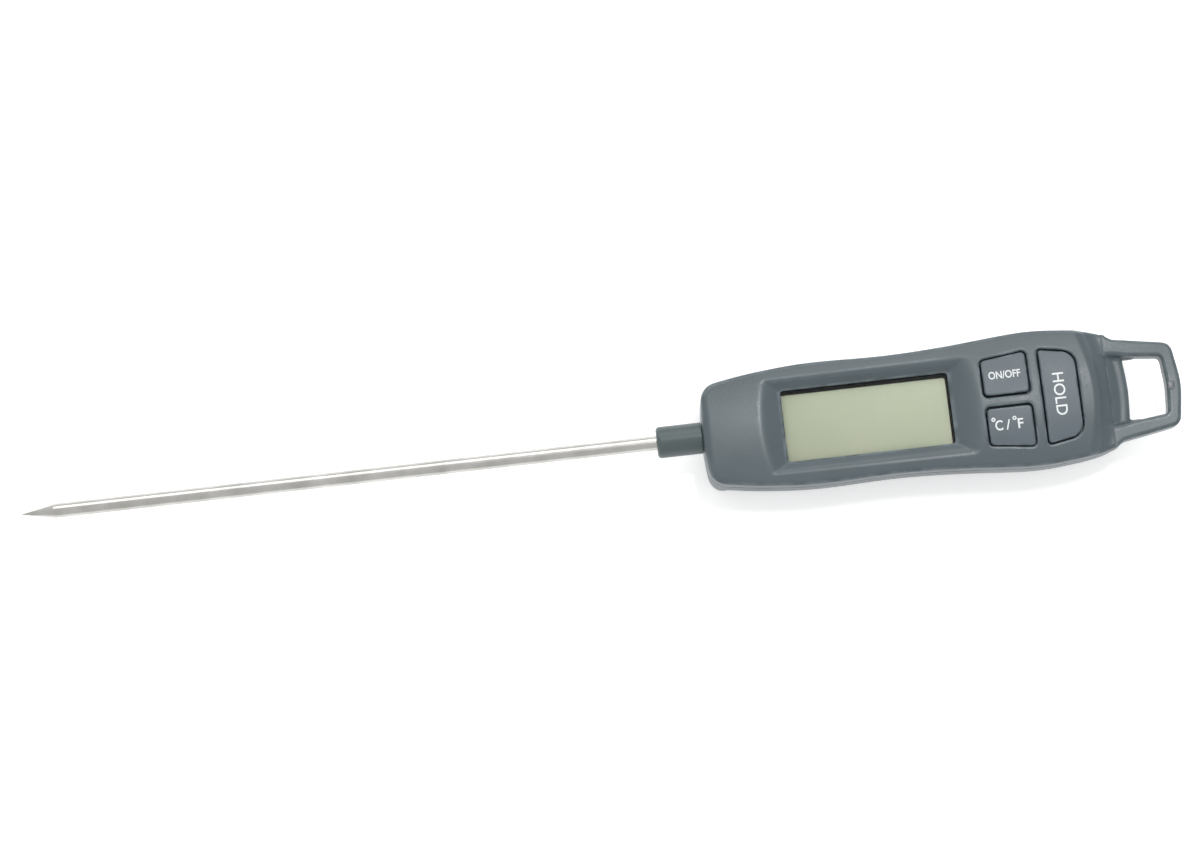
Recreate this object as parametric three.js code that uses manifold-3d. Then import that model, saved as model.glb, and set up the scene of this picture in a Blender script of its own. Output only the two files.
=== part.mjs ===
// Digital meat thermometer: a pointed steel probe in a flat two-part plastic housing with a display, three
// keys, a screw-in battery cover in the back and a hanging loop.
//
// Millimetres. +X runs from the probe's tip to the hanging loop, +Z points out of the display, and the
// housing lies on its back on Z = 0. The origin is the middle of the length and width, on the back face.

import * as THREE from 'three';
import { ConvexGeometry } from 'three/addons/geometries/ConvexGeometry.js';
import { mergeVertices } from 'three/addons/utils/BufferGeometryUtils.js';
import Module from 'manifold-3d';

const wasm = await Module();
wasm.setup();

// ---------------------------------------------------------------- driving dimensions

// Whole instrument
const TIP_X = -120;
const LOOP_END_X = 120;
const AXIS_Z = 10.5;          // the probe's axis, which is also where the two housing halves meet
const CROWN_Z = 14.8;         // the top face's highest line
const CROWN_R = 92;           // radius of the top face across the housing
const CROWN_SIDES = 288;
const PARTING_GAP = 0.1;
const FIT = 0.05;             // clearance between pieces that are held together
const ROUND = 32;             // sides of a large round piece
const SMALL_ROUND = 16;       // sides of a small round piece
const ACROSS = [-30, 30];     // a span wider than the housing, for the tools that cut it

// Housing
const NOSE_X = 21;
const NOSE_BULGE = 0.4;
const NOSE_CORNER = { x: 25.25, y: 6.9, r: 3.85 };
const SIDE_STATIONS = [       // half widths along the housing, from the nose corner to the tail
  [26, 10.93], [33, 11.92], [44, 12.68], [59.5, 12.37], [72, 12.82], [88, 14], [97, 13.5], [101, 12.9],
  [104, 12.3], [105.6, 11.65],
];
const WALL = 1.6;
const TAIL_WALL = 1.2;        // under the rear slope
const FLOOR = 1.5;
const PLATE_Z = 12.75;        // underside of the top face
const TOP_EDGE = { size: 1.1, height: 1.9 };
const BACK_EDGE = { size: 2.6, height: 3.2 };
const BELLY = { size: 2.4, height: 7.5 };  // how far the long sides draw in towards the back
const TAIL_X = 105;           // the upper half's rear end
const RIDGE = { x: 102.3, r: 29.7 };  // the curved ridge behind the keys
const REAR_SLOPE = { foot: 107.2, bend: [1.4, 1.3] };  // it drops from the ridge to the loop's ledge
const BACK_SLOPE = { x: 97, endX: 106.1, bend: [102, 1] };  // the back rises to the loop along this stretch

// Hanging loop
const LOOP_Z = [8.4, 12.4];
const LOOP_ROOT = [[105.1, 11.9], [106.1, 11.22], [107.2, 10.6]];  // its outline flares into the housing
const LOOP_CORNER = { x: 119, y: 8.6, r: 2.4 };
const LOOP_HOLE = { x: [108.9, 116.6], y: [6.8, 5.95], bulge: 0.4, r: [0.4, 0.9] };
const LEDGE_Z = 11.2;         // between the loop's arms, in front of its opening

// Display window: the opening at the lip, and how far its bevels spread
const WINDOW = { x: [38, 72.3], y: 7.3, lip: 13, r: 0.5 };
const BEZEL_FRONT = { x: 34.7, y: 9.1 };
const BEZEL_REAR = { x: 75.8, y: 9.8 };

// Keys: corners of the openings, and the room round each key
const KEY_GAP = 0.35;
const KEY_SHIFT = 0.12;       // each key sits this far off the bar that parts it from the next one
const KEY_CORNER = 1.1;
const KEY_FLANGE = { reach: 0.45, z: [11.6, 12.65] };
const SMALL_KEY = [[79.05, 0.92], [88.95, 0.92], [88.95, 10.12], [79.05, 8.95]];
const HOLD_KEY = [[91, -10.2], [98.95, -8.8], [98.95, 8.8], [91, 10.2]];
const HOLD_CORNERS = [0.9, 3.3, 3.3, 0.9];
const SMALL_KEY_PRESS = { x: 84, y: 5.2 };  // where a small key meets its switch
const HOLD_KEY_PRESS = { x: 95, y: 0 };

// Probe
const PROBE_R = 1.5;
const PROBE_BORE_R = 1.15;
const POINT_LENGTH = 7;
const PROBE_END_X = 28.4;
const COLLAR = { x: 11.6, r: 3.25, shoulder: 20.95, neckR: 2.6, flange: [22.8, 24.9], flangeR: 3.2 };
const RIB = [25.3, 26.5];
const FERRULE = { x: [26.8, 28.2], r: 2.15 };

// Electronics
const BOARD = { x: [31.8, 101.4], y: 9.5, z: [7.6, 8.6] };
const SWITCH = { side: 4.2, height: 1.5, wellR: 1.2, wellFloor: 0.3 };
const PLUNGER = { r: 1, height: 1.1, top: 10.5 };
const LCD = { x: [35.6, 73.7], y: 8.9, front: [10.8, 11.7] };
const LCD_REAR = { y: 7.4, z: [9.95, 10.75] };
const LCD_FILM = { margin: 0.5, z: [9.7, 9.9] };
const GASKET = { z: [11.75, 11.95], x: [37.6, 71.95], y: [-7.7, 6.6] };
const LENS_Z = [12, 12.7];
const ZEBRA = { x: [38, 72], y: [7.8, 8.7] };
const BOARD_POSTS = [[36, 8.2], [36, -8.2], [70, 8.2], [70, -8.2]];
const POST_R = 1.2;
const BLOB = { x: 52, r: 4, height: 0.95 };
const CHIP = { x: 79.6, y: 1.6, halfWidth: 0.4, height: 0.65 };
const CAPACITOR_LENGTH = 1.6;
const RESISTOR_LENGTH = 2;
const KEY_FOOT_R = 1.3;
const SENSOR = { x: -111.5, r: 0.75, length: 1.5 };
const LEAD = { r: 0.22, y: 0.45, bendX: 29.4, pad: { x: 33, y: 1.3 } };

// Battery bay, round the cell's axis
const BAY_X = 88;
const CELL = { r: 5.8, z: [1.9, 7.3] };
const COVER = { flangeR: 9.6, skirtR: 7.8, skirtBore: 6.6, z: [0.25, 1.35], floor: 1.7, top: 5.2 };
const BORE = { r: 8.6, recessR: 9.8, outerR: 10.2, shoulder: 1.5, top: 5.4 };
const CELL_RING = { r: 7.2, z: [6.2, 7.2] };
const THREAD = { lead: 5.76, r: 0.48, starts: 3 };
const COVER_THREAD = { z: 4.6, span: [-11, 11] };   // spans in degrees round the axis
const BAY_THREAD = { z: 3.5, span: [-50, 14] };
const SEAL = { r: 0.34, z: 1.78 };
const LEAF = 0.25;            // thickness of the contacts
const CONTACT = { foot: 2.6, halfWidth: 1.5, leaf: [-3, 4.6] };
const COIN_SLOT = { length: 13, width: 1.9, depth: 0.8 };

// Screws
const SCREWS = [[28.5, 5.2], [28.5, -5.2], [76.2, 7.2], [76.2, -7.2]];
const SCREW = { r: 0.95, headR: 1.9, head: [0.7, 2.2], point: 11.4, tip: 12.4 };
const RECESS = { arm: 1.1, half: 0.22, depth: 0.8 };  // the cross in the head
const PILLAR = { r: 2.2, footR: 2.9, footTop: 4 };
const BOSS_R = 2.2;
const COUNTERBORE_R = 2.15;

// ---------------------------------------------------------------- materials

const plastic = (name, color, roughness) =>
  new THREE.MeshStandardMaterial({ name, color, roughness, metalness: 0, flatShading: true });
const metal = (name, color, roughness) =>
  new THREE.MeshStandardMaterial({ name, color, roughness, metalness: 1, flatShading: true });

const housingPlastic = () => plastic('housing plastic', 0x69757b, 0.55);
const keyPlastic = () => plastic('key plastic', 0x6a767d, 0.5);
const steel = () => metal('stainless steel', 0xc4c1bb, 0.25);
const blackRubber = () => plastic('black rubber', 0x151618, 0.8);
const blackPlastic = () => plastic('black plastic', 0x1b1c1f, 0.5);
const clearPlastic = () => new THREE.MeshStandardMaterial({
  name: 'clear plastic', color: 0xf2f6f5, roughness: 0.05, metalness: 0, transparent: true, opacity: 0.25,
});
const displayGlass = () => plastic('display glass', 0xbcc0a0, 0.2);
const board = () => plastic('board laminate', 0x1f5a36, 0.6);
const resin = () => plastic('black resin', 0x101112, 0.35);
const ceramic = () => plastic('ceramic', 0xb49a78, 0.6);
const brass = () => metal('plated brass', 0xc9b27c, 0.35);
const wireCoat = (color) => plastic('wire insulation', color, 0.5);

// ---------------------------------------------------------------- solids: joining and cutting

// A closed three.js geometry as a solid that can be joined and cut.
function solid(geometry) {
  const bare = geometry.clone();
  bare.deleteAttribute('normal');
  bare.deleteAttribute('uv');
  const merged = mergeVertices(bare, 1e-4);
  const index = merged.index.array;
  const triangles = [];
  for (let i = 0; i < index.length; i += 3) {
    const [a, b, c] = [index[i], index[i + 1], index[i + 2]];
    if (a !== b && b !== c && c !== a) triangles.push(a, b, c);
  }
  return new wasm.Manifold(new wasm.Mesh({
    numProp: 3,
    vertProperties: new Float32Array(merged.attributes.position.array),
    triVerts: new Uint32Array(triangles),
  }));
}

function geometryOf(body) {
  const mesh = body.getMesh();
  const geometry = new THREE.BufferGeometry();
  geometry.setAttribute('position', new THREE.BufferAttribute(new Float32Array(mesh.vertProperties), 3));
  geometry.setIndex(new THREE.BufferAttribute(new Uint32Array(mesh.triVerts), 1));
  geometry.computeVertexNormals();
  return geometry;
}

const join = (...bodies) => bodies.reduce((sum, body) => sum.add(body));
const cut = (body, ...tools) => tools.reduce((rest, tool) => rest.subtract(tool), body);

// ---------------------------------------------------------------- solids: basic forms

function box([x0, x1], [y0, y1], [z0, z1]) {
  const geometry = new THREE.BoxGeometry(x1 - x0, y1 - y0, z1 - z0);
  return solid(geometry.translate((x0 + x1) / 2, (y0 + y1) / 2, (z0 + z1) / 2));
}

// An upright cylinder.
function drum(x, y, r, [z0, z1], sides = SMALL_ROUND) {
  const geometry = new THREE.CylinderGeometry(r, r, z1 - z0, sides).rotateX(Math.PI / 2);
  return solid(geometry.translate(x, y, (z0 + z1) / 2));
}

// A cylinder along the probe's axis.
function rod([x0, x1], r, sides = 24) {
  const geometry = new THREE.CylinderGeometry(r, r, x1 - x0, sides).rotateZ(-Math.PI / 2);
  return solid(geometry.translate((x0 + x1) / 2, 0, AXIS_Z));
}

// An outline of [radius, height] points turned round the Z axis. It ends on the axis, or is a closed ring.
function turned(outline, sides = ROUND) {
  const points = outline.map(vec);
  if (THREE.ShapeUtils.area(points) < 0) points.reverse();
  if (points.every((point) => point.x > 0)) points.push(points[0].clone());
  return solid(new THREE.LatheGeometry(points, sides).rotateX(Math.PI / 2));
}

// The same, round the probe's axis, with [radius, x] points.
const turnedOnProbe = (outline, sides) =>
  turned(outline, sides).rotate([0, 90, 0]).translate([0, 0, AXIS_Z]);

// An upright prism over a flat outline.
function prism(points, [z0, z1]) {
  const shape = new THREE.Shape(points);
  return solid(new THREE.ExtrudeGeometry(shape, { depth: z1 - z0, bevelEnabled: false }).translate(0, 0, z0));
}

// A prism across the housing, over an outline of [x, z] points.
function sidePrism(points, [y0, y1]) {
  const shape = new THREE.Shape(points);
  const geometry = new THREE.ExtrudeGeometry(shape, { depth: y1 - y0, bevelEnabled: false });
  return solid(geometry.rotateX(Math.PI / 2).translate(0, y1, 0));
}

// An upright prism with both ends rounded inwards.
function roundedPrism(points, [z0, z1], edge) {
  const geometry = new THREE.ExtrudeGeometry(new THREE.Shape(points), {
    depth: z1 - z0 - 2 * edge.height,
    bevelThickness: edge.height,
    bevelSize: edge.size,
    bevelOffset: -edge.size,
    bevelSegments: 3,
  });
  return solid(geometry.translate(0, 0, z0 + edge.height));
}

// A solid through convex rings of points that have the same number of points.
function loft(rings) {
  const size = rings[0].length;
  const triangles = [];
  rings.slice(1).forEach((_, i) => {
    for (let j = 0; j < size; j += 1) {
      const [a, b] = [i * size + j, i * size + (j + 1) % size];
      triangles.push(a, a + size, b, b, a + size, b + size);
    }
  });
  const end = (rings.length - 1) * size;
  for (let j = 1; j < size - 1; j += 1) triangles.push(0, j, j + 1, end, end + j + 1, end + j);
  const geometry = new THREE.BufferGeometry();
  geometry.setAttribute('position', new THREE.Float32BufferAttribute(rings.flat(2), 3));
  geometry.setIndex(triangles);
  return solid(geometry);
}

// A round bar with a few sides along a short curve.
function alongPath(r, sides, extrudePath) {
  const corners = Array.from({ length: sides }, (_, i) => i * 2 * Math.PI / sides);
  const section = new THREE.Shape(corners.map((a) => new THREE.Vector2(r * Math.cos(a), r * Math.sin(a))));
  return solid(new THREE.ExtrudeGeometry(section, { steps: 8, bevelEnabled: false, extrudePath }));
}

// ---------------------------------------------------------------- outlines

const vec = ([x, y]) => new THREE.Vector2(x, y);

// An arc from one angle to another, in degrees.
function arc(x, y, r, from, to, steps) {
  const curve = new THREE.EllipseCurve(x, y, r, r, from * Math.PI / 180, to * Math.PI / 180, to < from);
  return curve.getPoints(steps);
}

// A polygon with an arc at each corner. radii is one number or one for each corner.
function roundedPolygon(corners, radii, steps = 4) {
  const points = corners.map(vec);
  const count = points.length;
  return points.flatMap((corner, i) => {
    const r = Array.isArray(radii) ? radii[i] : radii;
    if (r === 0) return [corner];
    const before = points[(i + count - 1) % count].clone().sub(corner).normalize();
    const after = points[(i + 1) % count].clone().sub(corner).normalize();
    const half = Math.acos(before.dot(after)) / 2;
    const middle = before.clone().add(after).normalize().multiplyScalar(r / Math.sin(half)).add(corner);
    const start = before.multiplyScalar(r / Math.tan(half)).add(corner).sub(middle).angle();
    const end = after.multiplyScalar(r / Math.tan(half)).add(corner).sub(middle).angle();
    const turn = Math.atan2(Math.sin(end - start), Math.cos(end - start));
    return Array.from({ length: steps + 1 }, (_, k) => {
      const angle = start + turn * k / steps;
      return new THREE.Vector2(middle.x + r * Math.cos(angle), middle.y + r * Math.sin(angle));
    });
  });
}

// The outline moved inwards by a distance (outwards where it is negative). It runs counter-clockwise.
function inset(points, distance) {
  const count = points.length;
  return points.map((point, i) => {
    const before = point.clone().sub(points[(i + count - 1) % count]).normalize();
    const after = points[(i + 1) % count].clone().sub(point).normalize();
    const normal = new THREE.Vector2(-before.y - after.y, before.x + after.x).normalize();
    const stretch = 1 / Math.sqrt((1 + before.dot(after)) / 2);
    return normal.multiplyScalar(distance * stretch).add(point);
  });
}

// A half outline from the centre line outwards on the +Y side, mirrored into a counter-clockwise whole.
function mirrored(half) {
  const near = half.map((p) => new THREE.Vector2(p.x, -p.y));
  return [...near, ...half.slice(1).reverse()];
}

const noseCorner = () => arc(NOSE_CORNER.x, NOSE_CORNER.y, NOSE_CORNER.r, 172, 96, 5);
const sideCurve = () => new THREE.SplineCurve(SIDE_STATIONS.map(vec)).getSpacedPoints(24);

// Plan of the housing, without the loop.
function bodyOutline() {
  const noseR = (NOSE_CORNER.y ** 2 + NOSE_BULGE ** 2) / (2 * NOSE_BULGE);
  const noseAngle = Math.asin(NOSE_CORNER.y / noseR) * 180 / Math.PI;
  const nose = arc(NOSE_X + noseR, 0, noseR, 180, 180 - noseAngle, 3).slice(0, -1);
  return mirrored([...nose, ...noseCorner(), ...sideCurve()]);
}

// Plan of the loop with its opening left out.
function loopOutline() {
  const { x, y, r } = LOOP_CORNER;
  const half = [[LOOP_END_X, 0], [x, y], ...[...LOOP_ROOT].reverse()];
  const nearHalf = half.slice(1).reverse().map(([u, v]) => [u, -v]);
  const radii = (corners) => corners.map(([u]) => (u === x ? r : 0));
  const corners = [...nearHalf, ...half];
  return roundedPolygon(corners, radii(corners));
}

function loopHoleOutline() {
  const { x: [x0, x1], y: [y0, y1], bulge, r: [r0, r1] } = LOOP_HOLE;
  const corners = [[x0, -y0], [x1, -y1], [x1 + bulge, 0], [x1, y1], [x0, y0], [x0 + bulge, 0]];
  return roundedPolygon(corners, [r0, r1, 0, r1, r0, 0]);
}

const rectangle = ([x0, x1], [y0, y1]) => [[x0, y0], [x1, y0], [x1, y1], [x0, y1]];

// ---------------------------------------------------------------- housing

// Everything under the crowned top face: a lying cylinder far wider than the housing.
function crown(lowered = 0) {
  const geometry = new THREE.CylinderGeometry(CROWN_R - lowered, CROWN_R - lowered, 300, CROWN_SIDES);
  return solid(geometry.rotateZ(Math.PI / 2).translate(0, 0, CROWN_Z - CROWN_R));
}

// The space behind the ridge: a hollow slope that drops to the loop's ledge, turned about an upright axis.
function rearSlope() {
  const foot = REAR_SLOPE.foot - RIDGE.x + RIDGE.r;
  const [bendX, bendZ] = REAR_SLOPE.bend;
  const far = foot + 20;
  const high = CROWN_Z + 5;
  const slope = new THREE.QuadraticBezierCurve(
    new THREE.Vector2(RIDGE.r, CROWN_Z),
    new THREE.Vector2(RIDGE.r + bendX, LEDGE_Z + bendZ),
    new THREE.Vector2(foot, LEDGE_Z),
  );
  const outline = slope.getPoints(6).map((p) => [p.x, p.y]);
  const ring = turned([...outline, [far, LEDGE_Z], [far, high], [RIDGE.r, high]], 96);
  const rearHalf = box([RIDGE.x - 20, LOOP_HOLE.x[0] + 1], ACROSS, [0, high + 1]);
  return ring.translate([RIDGE.x - RIDGE.r, 0, 0]).intersect(rearHalf);
}

// The same space between the loop's arms only, below the arms' top faces. Its sides run on from the opening.
function slopeAndLedge() {
  const { x: [x0, x1], y: [y0, y1] } = LOOP_HOLE;
  const armAt = (x) => [x, y0 + (x0 - x) * (y0 - y1) / (x1 - x0)];
  const farArm = [armAt(RIDGE.x - 2), armAt(x1), [x1, ACROSS[1]], [RIDGE.x - 2, ACROSS[1]]];
  const nearArm = farArm.map(([x, y]) => [x, -y]).reverse();
  const armSpace = [farArm, nearArm].map((corners) => prism(corners.map(vec), [0, LOOP_Z[1]]));
  return cut(rearSlope(), ...armSpace);
}

// The room between the housing's long sides, which curve in towards the back, with a wall and floor left off.
function belly(wall, floor) {
  const heights = [0, 0.5, 1.2, 2.2, 3.4, 4.8, 6.2, BELLY.height];
  const inset = (z) => BELLY.size * (1 - Math.sqrt(1 - (1 - z / BELLY.height) ** 2));
  const side = [...noseCorner(), ...sideCurve()];
  const first = side[0].clone().setX(NOSE_X - 2);
  const last = side.at(-1).clone().setX(LOOP_END_X);
  const rings = [first, ...side.slice(1, -1), last].map(({ x, y }) => {
    const half = heights.map((z) => [x, y - wall - inset(z), z + floor]);
    const flank = [...half, [x, y - wall, CROWN_Z]];
    return [...flank.map(([u, v, z]) => [u, -v, z]), ...[...flank].reverse()];
  });
  return loft(rings);
}

// The space under the rear end, where the back curves up to the loop.
function backSlope() {
  const { x, endX, bend } = BACK_SLOPE;
  const rise = new THREE.QuadraticBezierCurve(
    new THREE.Vector2(x, 0),
    new THREE.Vector2(...bend),
    new THREE.Vector2(endX, LOOP_Z[0]),
  );
  const below = [new THREE.Vector2(endX, -2), new THREE.Vector2(x, -2)];
  return sidePrism([...rise.getPoints(6), ...below], ACROSS);
}

// The window's opening with its four bevels, which spread from the lip to the top face and past it.
function windowRecess() {
  const past = 2;
  const lip = rectangle(WINDOW.x, [-WINDOW.y, WINDOW.y]);
  const crownAt = (y) => CROWN_Z - y * y / (2 * CROWN_R);
  const spread = (ridge, lipX, side) => {
    const x = lipX + (ridge.x - lipX) * past;
    const y = WINDOW.y + (ridge.y - WINDOW.y) * past;
    const z = WINDOW.lip + (crownAt(ridge.y) - WINDOW.lip) * past;
    return new THREE.Vector3(x, side * y, z);
  };
  const corners = [
    ...lip.map(([x, y]) => new THREE.Vector3(x, y, WINDOW.lip)),
    ...[-1, 1].map((side) => spread(BEZEL_FRONT, WINDOW.x[0], side)),
    ...[-1, 1].map((side) => spread(BEZEL_REAR, WINDOW.x[1], side)),
  ];
  const opening = prism(roundedPolygon(lip, WINDOW.r), [PLATE_Z - 1, WINDOW.lip + 0.1]);
  return join(solid(new ConvexGeometry(corners)), opening);
}

const keyOpenings = {
  power: roundedPolygon(SMALL_KEY, KEY_CORNER),
  units: roundedPolygon(SMALL_KEY.map(([x, y]) => [x, -y]).reverse(), KEY_CORNER),
  hold: roundedPolygon(HOLD_KEY, HOLD_CORNERS),
};

const keyPress = {
  power: [SMALL_KEY_PRESS.x, SMALL_KEY_PRESS.y],
  units: [SMALL_KEY_PRESS.x, -SMALL_KEY_PRESS.y],
  hold: [HOLD_KEY_PRESS.x, HOLD_KEY_PRESS.y],
};

// The room that the collar's neck and flange and the probe need in the nose.
function collarSeat() {
  const [front, rear] = COLLAR.flange;
  return join(
    rod([NOSE_X - 3, front], COLLAR.neckR + FIT),
    rod([front - FIT, rear + 0.2], COLLAR.flangeR + FIT),
    rod([rear, RIB[1] + 1], PROBE_R + FIT),
  );
}

// The cross wall behind the collar that grips the probe.
const probeRib = (z) => box(RIB, [-10, 10], z);

const insideTail = () => box([0, TAIL_X - WALL], ACROSS, [0, CROWN_Z]);

function frontShell() {
  const bottom = AXIS_Z + PARTING_GAP / 2;
  const outline = bodyOutline();
  const outside = roundedPrism(outline, [AXIS_Z - 5, CROWN_Z + 0.1], TOP_EDGE).intersect(crown());
  const above = box([NOSE_X - 5, TAIL_X], ACROSS, [bottom, CROWN_Z + 5]);
  const room = prism(inset(outline, WALL), [AXIS_Z - 6, PLATE_Z]).intersect(insideTail());
  const cavity = cut(room, rearSlope().translate([-WALL, 0, -TAIL_WALL]));
  const bosses = SCREWS.map(([x, y]) => drum(x, y, BOSS_R, [bottom, PLATE_Z + 0.2]));
  const pilots = SCREWS.map(([x, y]) => drum(x, y, SCREW.r + FIT, [bottom - 1, SCREW.tip + 0.2]));
  const hollow = cut(outside.intersect(above), cavity, slopeAndLedge());
  return cut(
    join(hollow, ...bosses, probeRib([bottom, PLATE_Z + 0.5])),
    windowRecess(),
    ...Object.values(keyOpenings).map((opening) => prism(opening, [PLATE_Z - 0.5, CROWN_Z + 2])),
    ...pilots,
    collarSeat(),
  );
}

function rearShell() {
  const top = AXIS_Z - PARTING_GAP / 2;
  const outline = bodyOutline();
  const below = box([NOSE_X - 5, LOOP_END_X], ACROSS, [0, top]);
  const outside = roundedPrism(outline, [0, AXIS_Z + 6], BACK_EDGE).intersect(below).intersect(belly(0, 0));
  const room = prism(inset(outline, WALL), [FLOOR, AXIS_Z + 1]).intersect(insideTail());
  const innerBelly = belly(WALL, 0.8 * FLOOR);
  const cavity = cut(room.intersect(innerBelly), backSlope().translate([-WALL, 0, WALL]));
  const loop = cut(
    prism(loopOutline(), LOOP_Z),
    prism(loopHoleOutline(), [LOOP_Z[0] - 1, LOOP_Z[1] + 1]),
    slopeAndLedge(),
  );
  const pillars = SCREWS.flatMap(([x, y]) => [
    drum(x, y, PILLAR.footR, [FLOOR - 0.5, PILLAR.footTop]),
    drum(x, y, PILLAR.r, [FLOOR - 0.5, top]),
  ]);
  const rib = probeRib([FLOOR - 0.5, top]).intersect(belly(WALL / 2, 0));
  const posts = BOARD_POSTS.map(([x, y]) => drum(x, y, POST_R, [FLOOR - 0.5, BOARD.z[0] - FIT]));
  const screwHoles = SCREWS.flatMap(([x, y]) => [
    drum(x, y, COUNTERBORE_R, [-1, SCREW.head[1] + 0.1]),
    drum(x, y, SCREW.r + 0.2, [1, AXIS_Z + 1]),
  ]);
  const sides = cut(outside, cavity, backSlope());
  return cut(
    join(sides, loop, ...pillars, ...posts, rib, bayWalls()),
    bayBore(),
    ...screwHoles,
    collarSeat(),
  ).add(bayThread());
}

// ---------------------------------------------------------------- battery bay and cover

const atBay = (body) => body.translate([BAY_X, 0, 0]);

function bayWalls() {
  const turret = drum(0, 0, BORE.outerR, [0.5, CELL_RING.z[0]], ROUND);
  const cellRing = drum(0, 0, CELL_RING.r, [CELL_RING.z[0] - 0.5, CELL_RING.z[1]], ROUND);
  return atBay(join(turret, cellRing));
}

function bayBore() {
  const cellHole = CELL.r + 0.2;
  const bore = turned([
    [0, -1], [BORE.recessR, -1], [BORE.recessR, BORE.shoulder], [BORE.r, BORE.shoulder],
    [BORE.r, BORE.top], [cellHole, BORE.top], [cellHole, CELL_RING.z[1] + 1], [0, CELL_RING.z[1] + 1],
  ]);
  const slotHalf = CONTACT.halfWidth + 0.3;
  const slotHeight = [BORE.top - 0.1, CELL_RING.z[1] + 1];
  const contactSlot = box([-CELL_RING.r - 0.2, 0], [-slotHalf, slotHalf], slotHeight);
  return atBay(join(bore, contactSlot));
}

// One start of a screw thread: it climbs from one angle to another, counted from the start's own angle.
class ThreadCurve extends THREE.Curve {
  constructor(radius, z, start, from, to) {
    super();
    Object.assign(this, { radius, z, start, from, to });
  }

  getPoint(t) {
    const climbed = this.from + (this.to - this.from) * t;
    const angle = (this.start + climbed) * Math.PI / 180;
    const z = this.z + THREAD.lead * climbed / 360;
    return new THREE.Vector3(this.radius * Math.cos(angle), this.radius * Math.sin(angle), z);
  }
}

function threads(radius, { z, span: [from, to] }) {
  const beads = Array.from({ length: THREAD.starts }, (_, i) => {
    const path = new ThreadCurve(radius, z, i * 360 / THREAD.starts, from, to);
    return alongPath(THREAD.r, 8, path);
  });
  return join(...beads);
}

const bayThread = () => atBay(threads(BORE.r, BAY_THREAD));

function batteryCover() {
  const { flangeR, skirtR, skirtBore, z, floor, top } = COVER;
  const cup = turned([
    [0, z[0]], [flangeR - 0.3, z[0]], [flangeR, z[0] + 0.3], [flangeR, z[1]],
    [skirtR, z[1]], [skirtR, top], [skirtBore, top], [skirtBore, floor], [0, floor],
  ]);
  const { length, width, depth } = COIN_SLOT;
  const slot = box([-length / 2, length / 2], [-width / 2, width / 2], [z[0] - 1, z[0] + depth]);
  return cut(join(cup, threads(skirtR, COVER_THREAD)), slot);
}

function coverSeal() {
  const geometry = new THREE.TorusGeometry((COVER.skirtR + BORE.r) / 2, SEAL.r, 8, 40);
  return solid(geometry.translate(0, 0, SEAL.z));
}

function coinCell() {
  const [bottom, top] = CELL.z;
  const rim = top - 0.6;
  return turned([
    [0, bottom], [CELL.r - 0.4, bottom], [CELL.r, bottom + 0.4], [CELL.r, rim - 0.2], [CELL.r - 0.3, rim],
    [CELL.r - 0.8, rim], [CELL.r - 0.9, top - 0.2], [CELL.r - 1.1, top], [0, top],
  ]);
}

// An angle strip that stands against the side of the cell, its foot under the board.
function contactPositive() {
  const edge = -CELL.r - FIT;
  const bottom = BORE.top + 0.1;
  const underBoard = BOARD.z[0] - FIT;
  const outline = [
    [edge, bottom], [edge, underBoard], [edge - CONTACT.foot, underBoard],
    [edge - CONTACT.foot, underBoard - LEAF], [edge - LEAF, underBoard - LEAF], [edge - LEAF, bottom],
  ];
  return sidePrism(outline.map(vec), [-CONTACT.halfWidth, CONTACT.halfWidth]);
}

// A leaf between the cell's cap and the board.
function contactNegative() {
  const bottom = CELL.z[1] + 0.02;
  const leaf = roundedPolygon(rectangle(CONTACT.leaf, [-CONTACT.halfWidth, CONTACT.halfWidth]), 0.6);
  return prism(leaf, [bottom, bottom + LEAF - 0.02]);
}

// ---------------------------------------------------------------- keys and switches

function key(name) {
  const opening = keyOpenings[name];
  const side = Math.sign(keyPress[name][1]);
  const cap = prism(inset(opening, KEY_GAP), [KEY_FLANGE.z[1] - 0.2, CROWN_Z + 2]).intersect(crown(FIT));
  const flange = prism(inset(opening, -KEY_FLANGE.reach), KEY_FLANGE.z);
  const foot = drum(...keyPress[name], KEY_FOOT_R, [PLUNGER.top + FIT, KEY_FLANGE.z[0] + 0.3]);
  return join(join(cap, flange).translate([0, side * KEY_SHIFT, 0]), foot);
}

function switchBase() {
  const half = SWITCH.side / 2;
  const bottom = BOARD.z[1] + FIT;
  const body = box([-half, half], [-half, half], [bottom, bottom + SWITCH.height]);
  return cut(body, drum(0, 0, SWITCH.wellR, [bottom + SWITCH.wellFloor, bottom + SWITCH.height + 1]));
}

const switchPlunger = () => drum(0, 0, PLUNGER.r, [PLUNGER.top - PLUNGER.height, PLUNGER.top]);

// ---------------------------------------------------------------- display

const lens = () => prism(roundedPolygon(rectangle(LCD.x, [-LCD.y, LCD.y]), 0.6), LENS_Z);
const frontGlass = () => box(LCD.x, [-LCD.y, LCD.y], LCD.front);
const rearGlass = () => box(LCD.x, [-LCD_REAR.y, LCD_REAR.y], LCD_REAR.z);

function reflector() {
  const halfWidth = LCD_REAR.y - LCD_FILM.margin;
  const x = [LCD.x[0] + LCD_FILM.margin, LCD.x[1] - LCD_FILM.margin];
  return box(x, [-halfWidth, halfWidth], LCD_FILM.z);
}

function gasket() {
  const frame = roundedPolygon(rectangle(LCD.x, [-LCD.y, LCD.y]), 0.6);
  const hole = roundedPolygon(rectangle(GASKET.x, GASKET.y), 0.5);
  return cut(prism(frame, GASKET.z), prism(hole, [GASKET.z[0] - 1, GASKET.z[1] + 1]));
}

function zebraStrip(side) {
  const y = ZEBRA.y.map((edge) => side * edge).sort((a, b) => a - b);
  return box(ZEBRA.x, y, [BOARD.z[1] + FIT, LCD.front[0] - FIT]);
}

// ---------------------------------------------------------------- board

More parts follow.
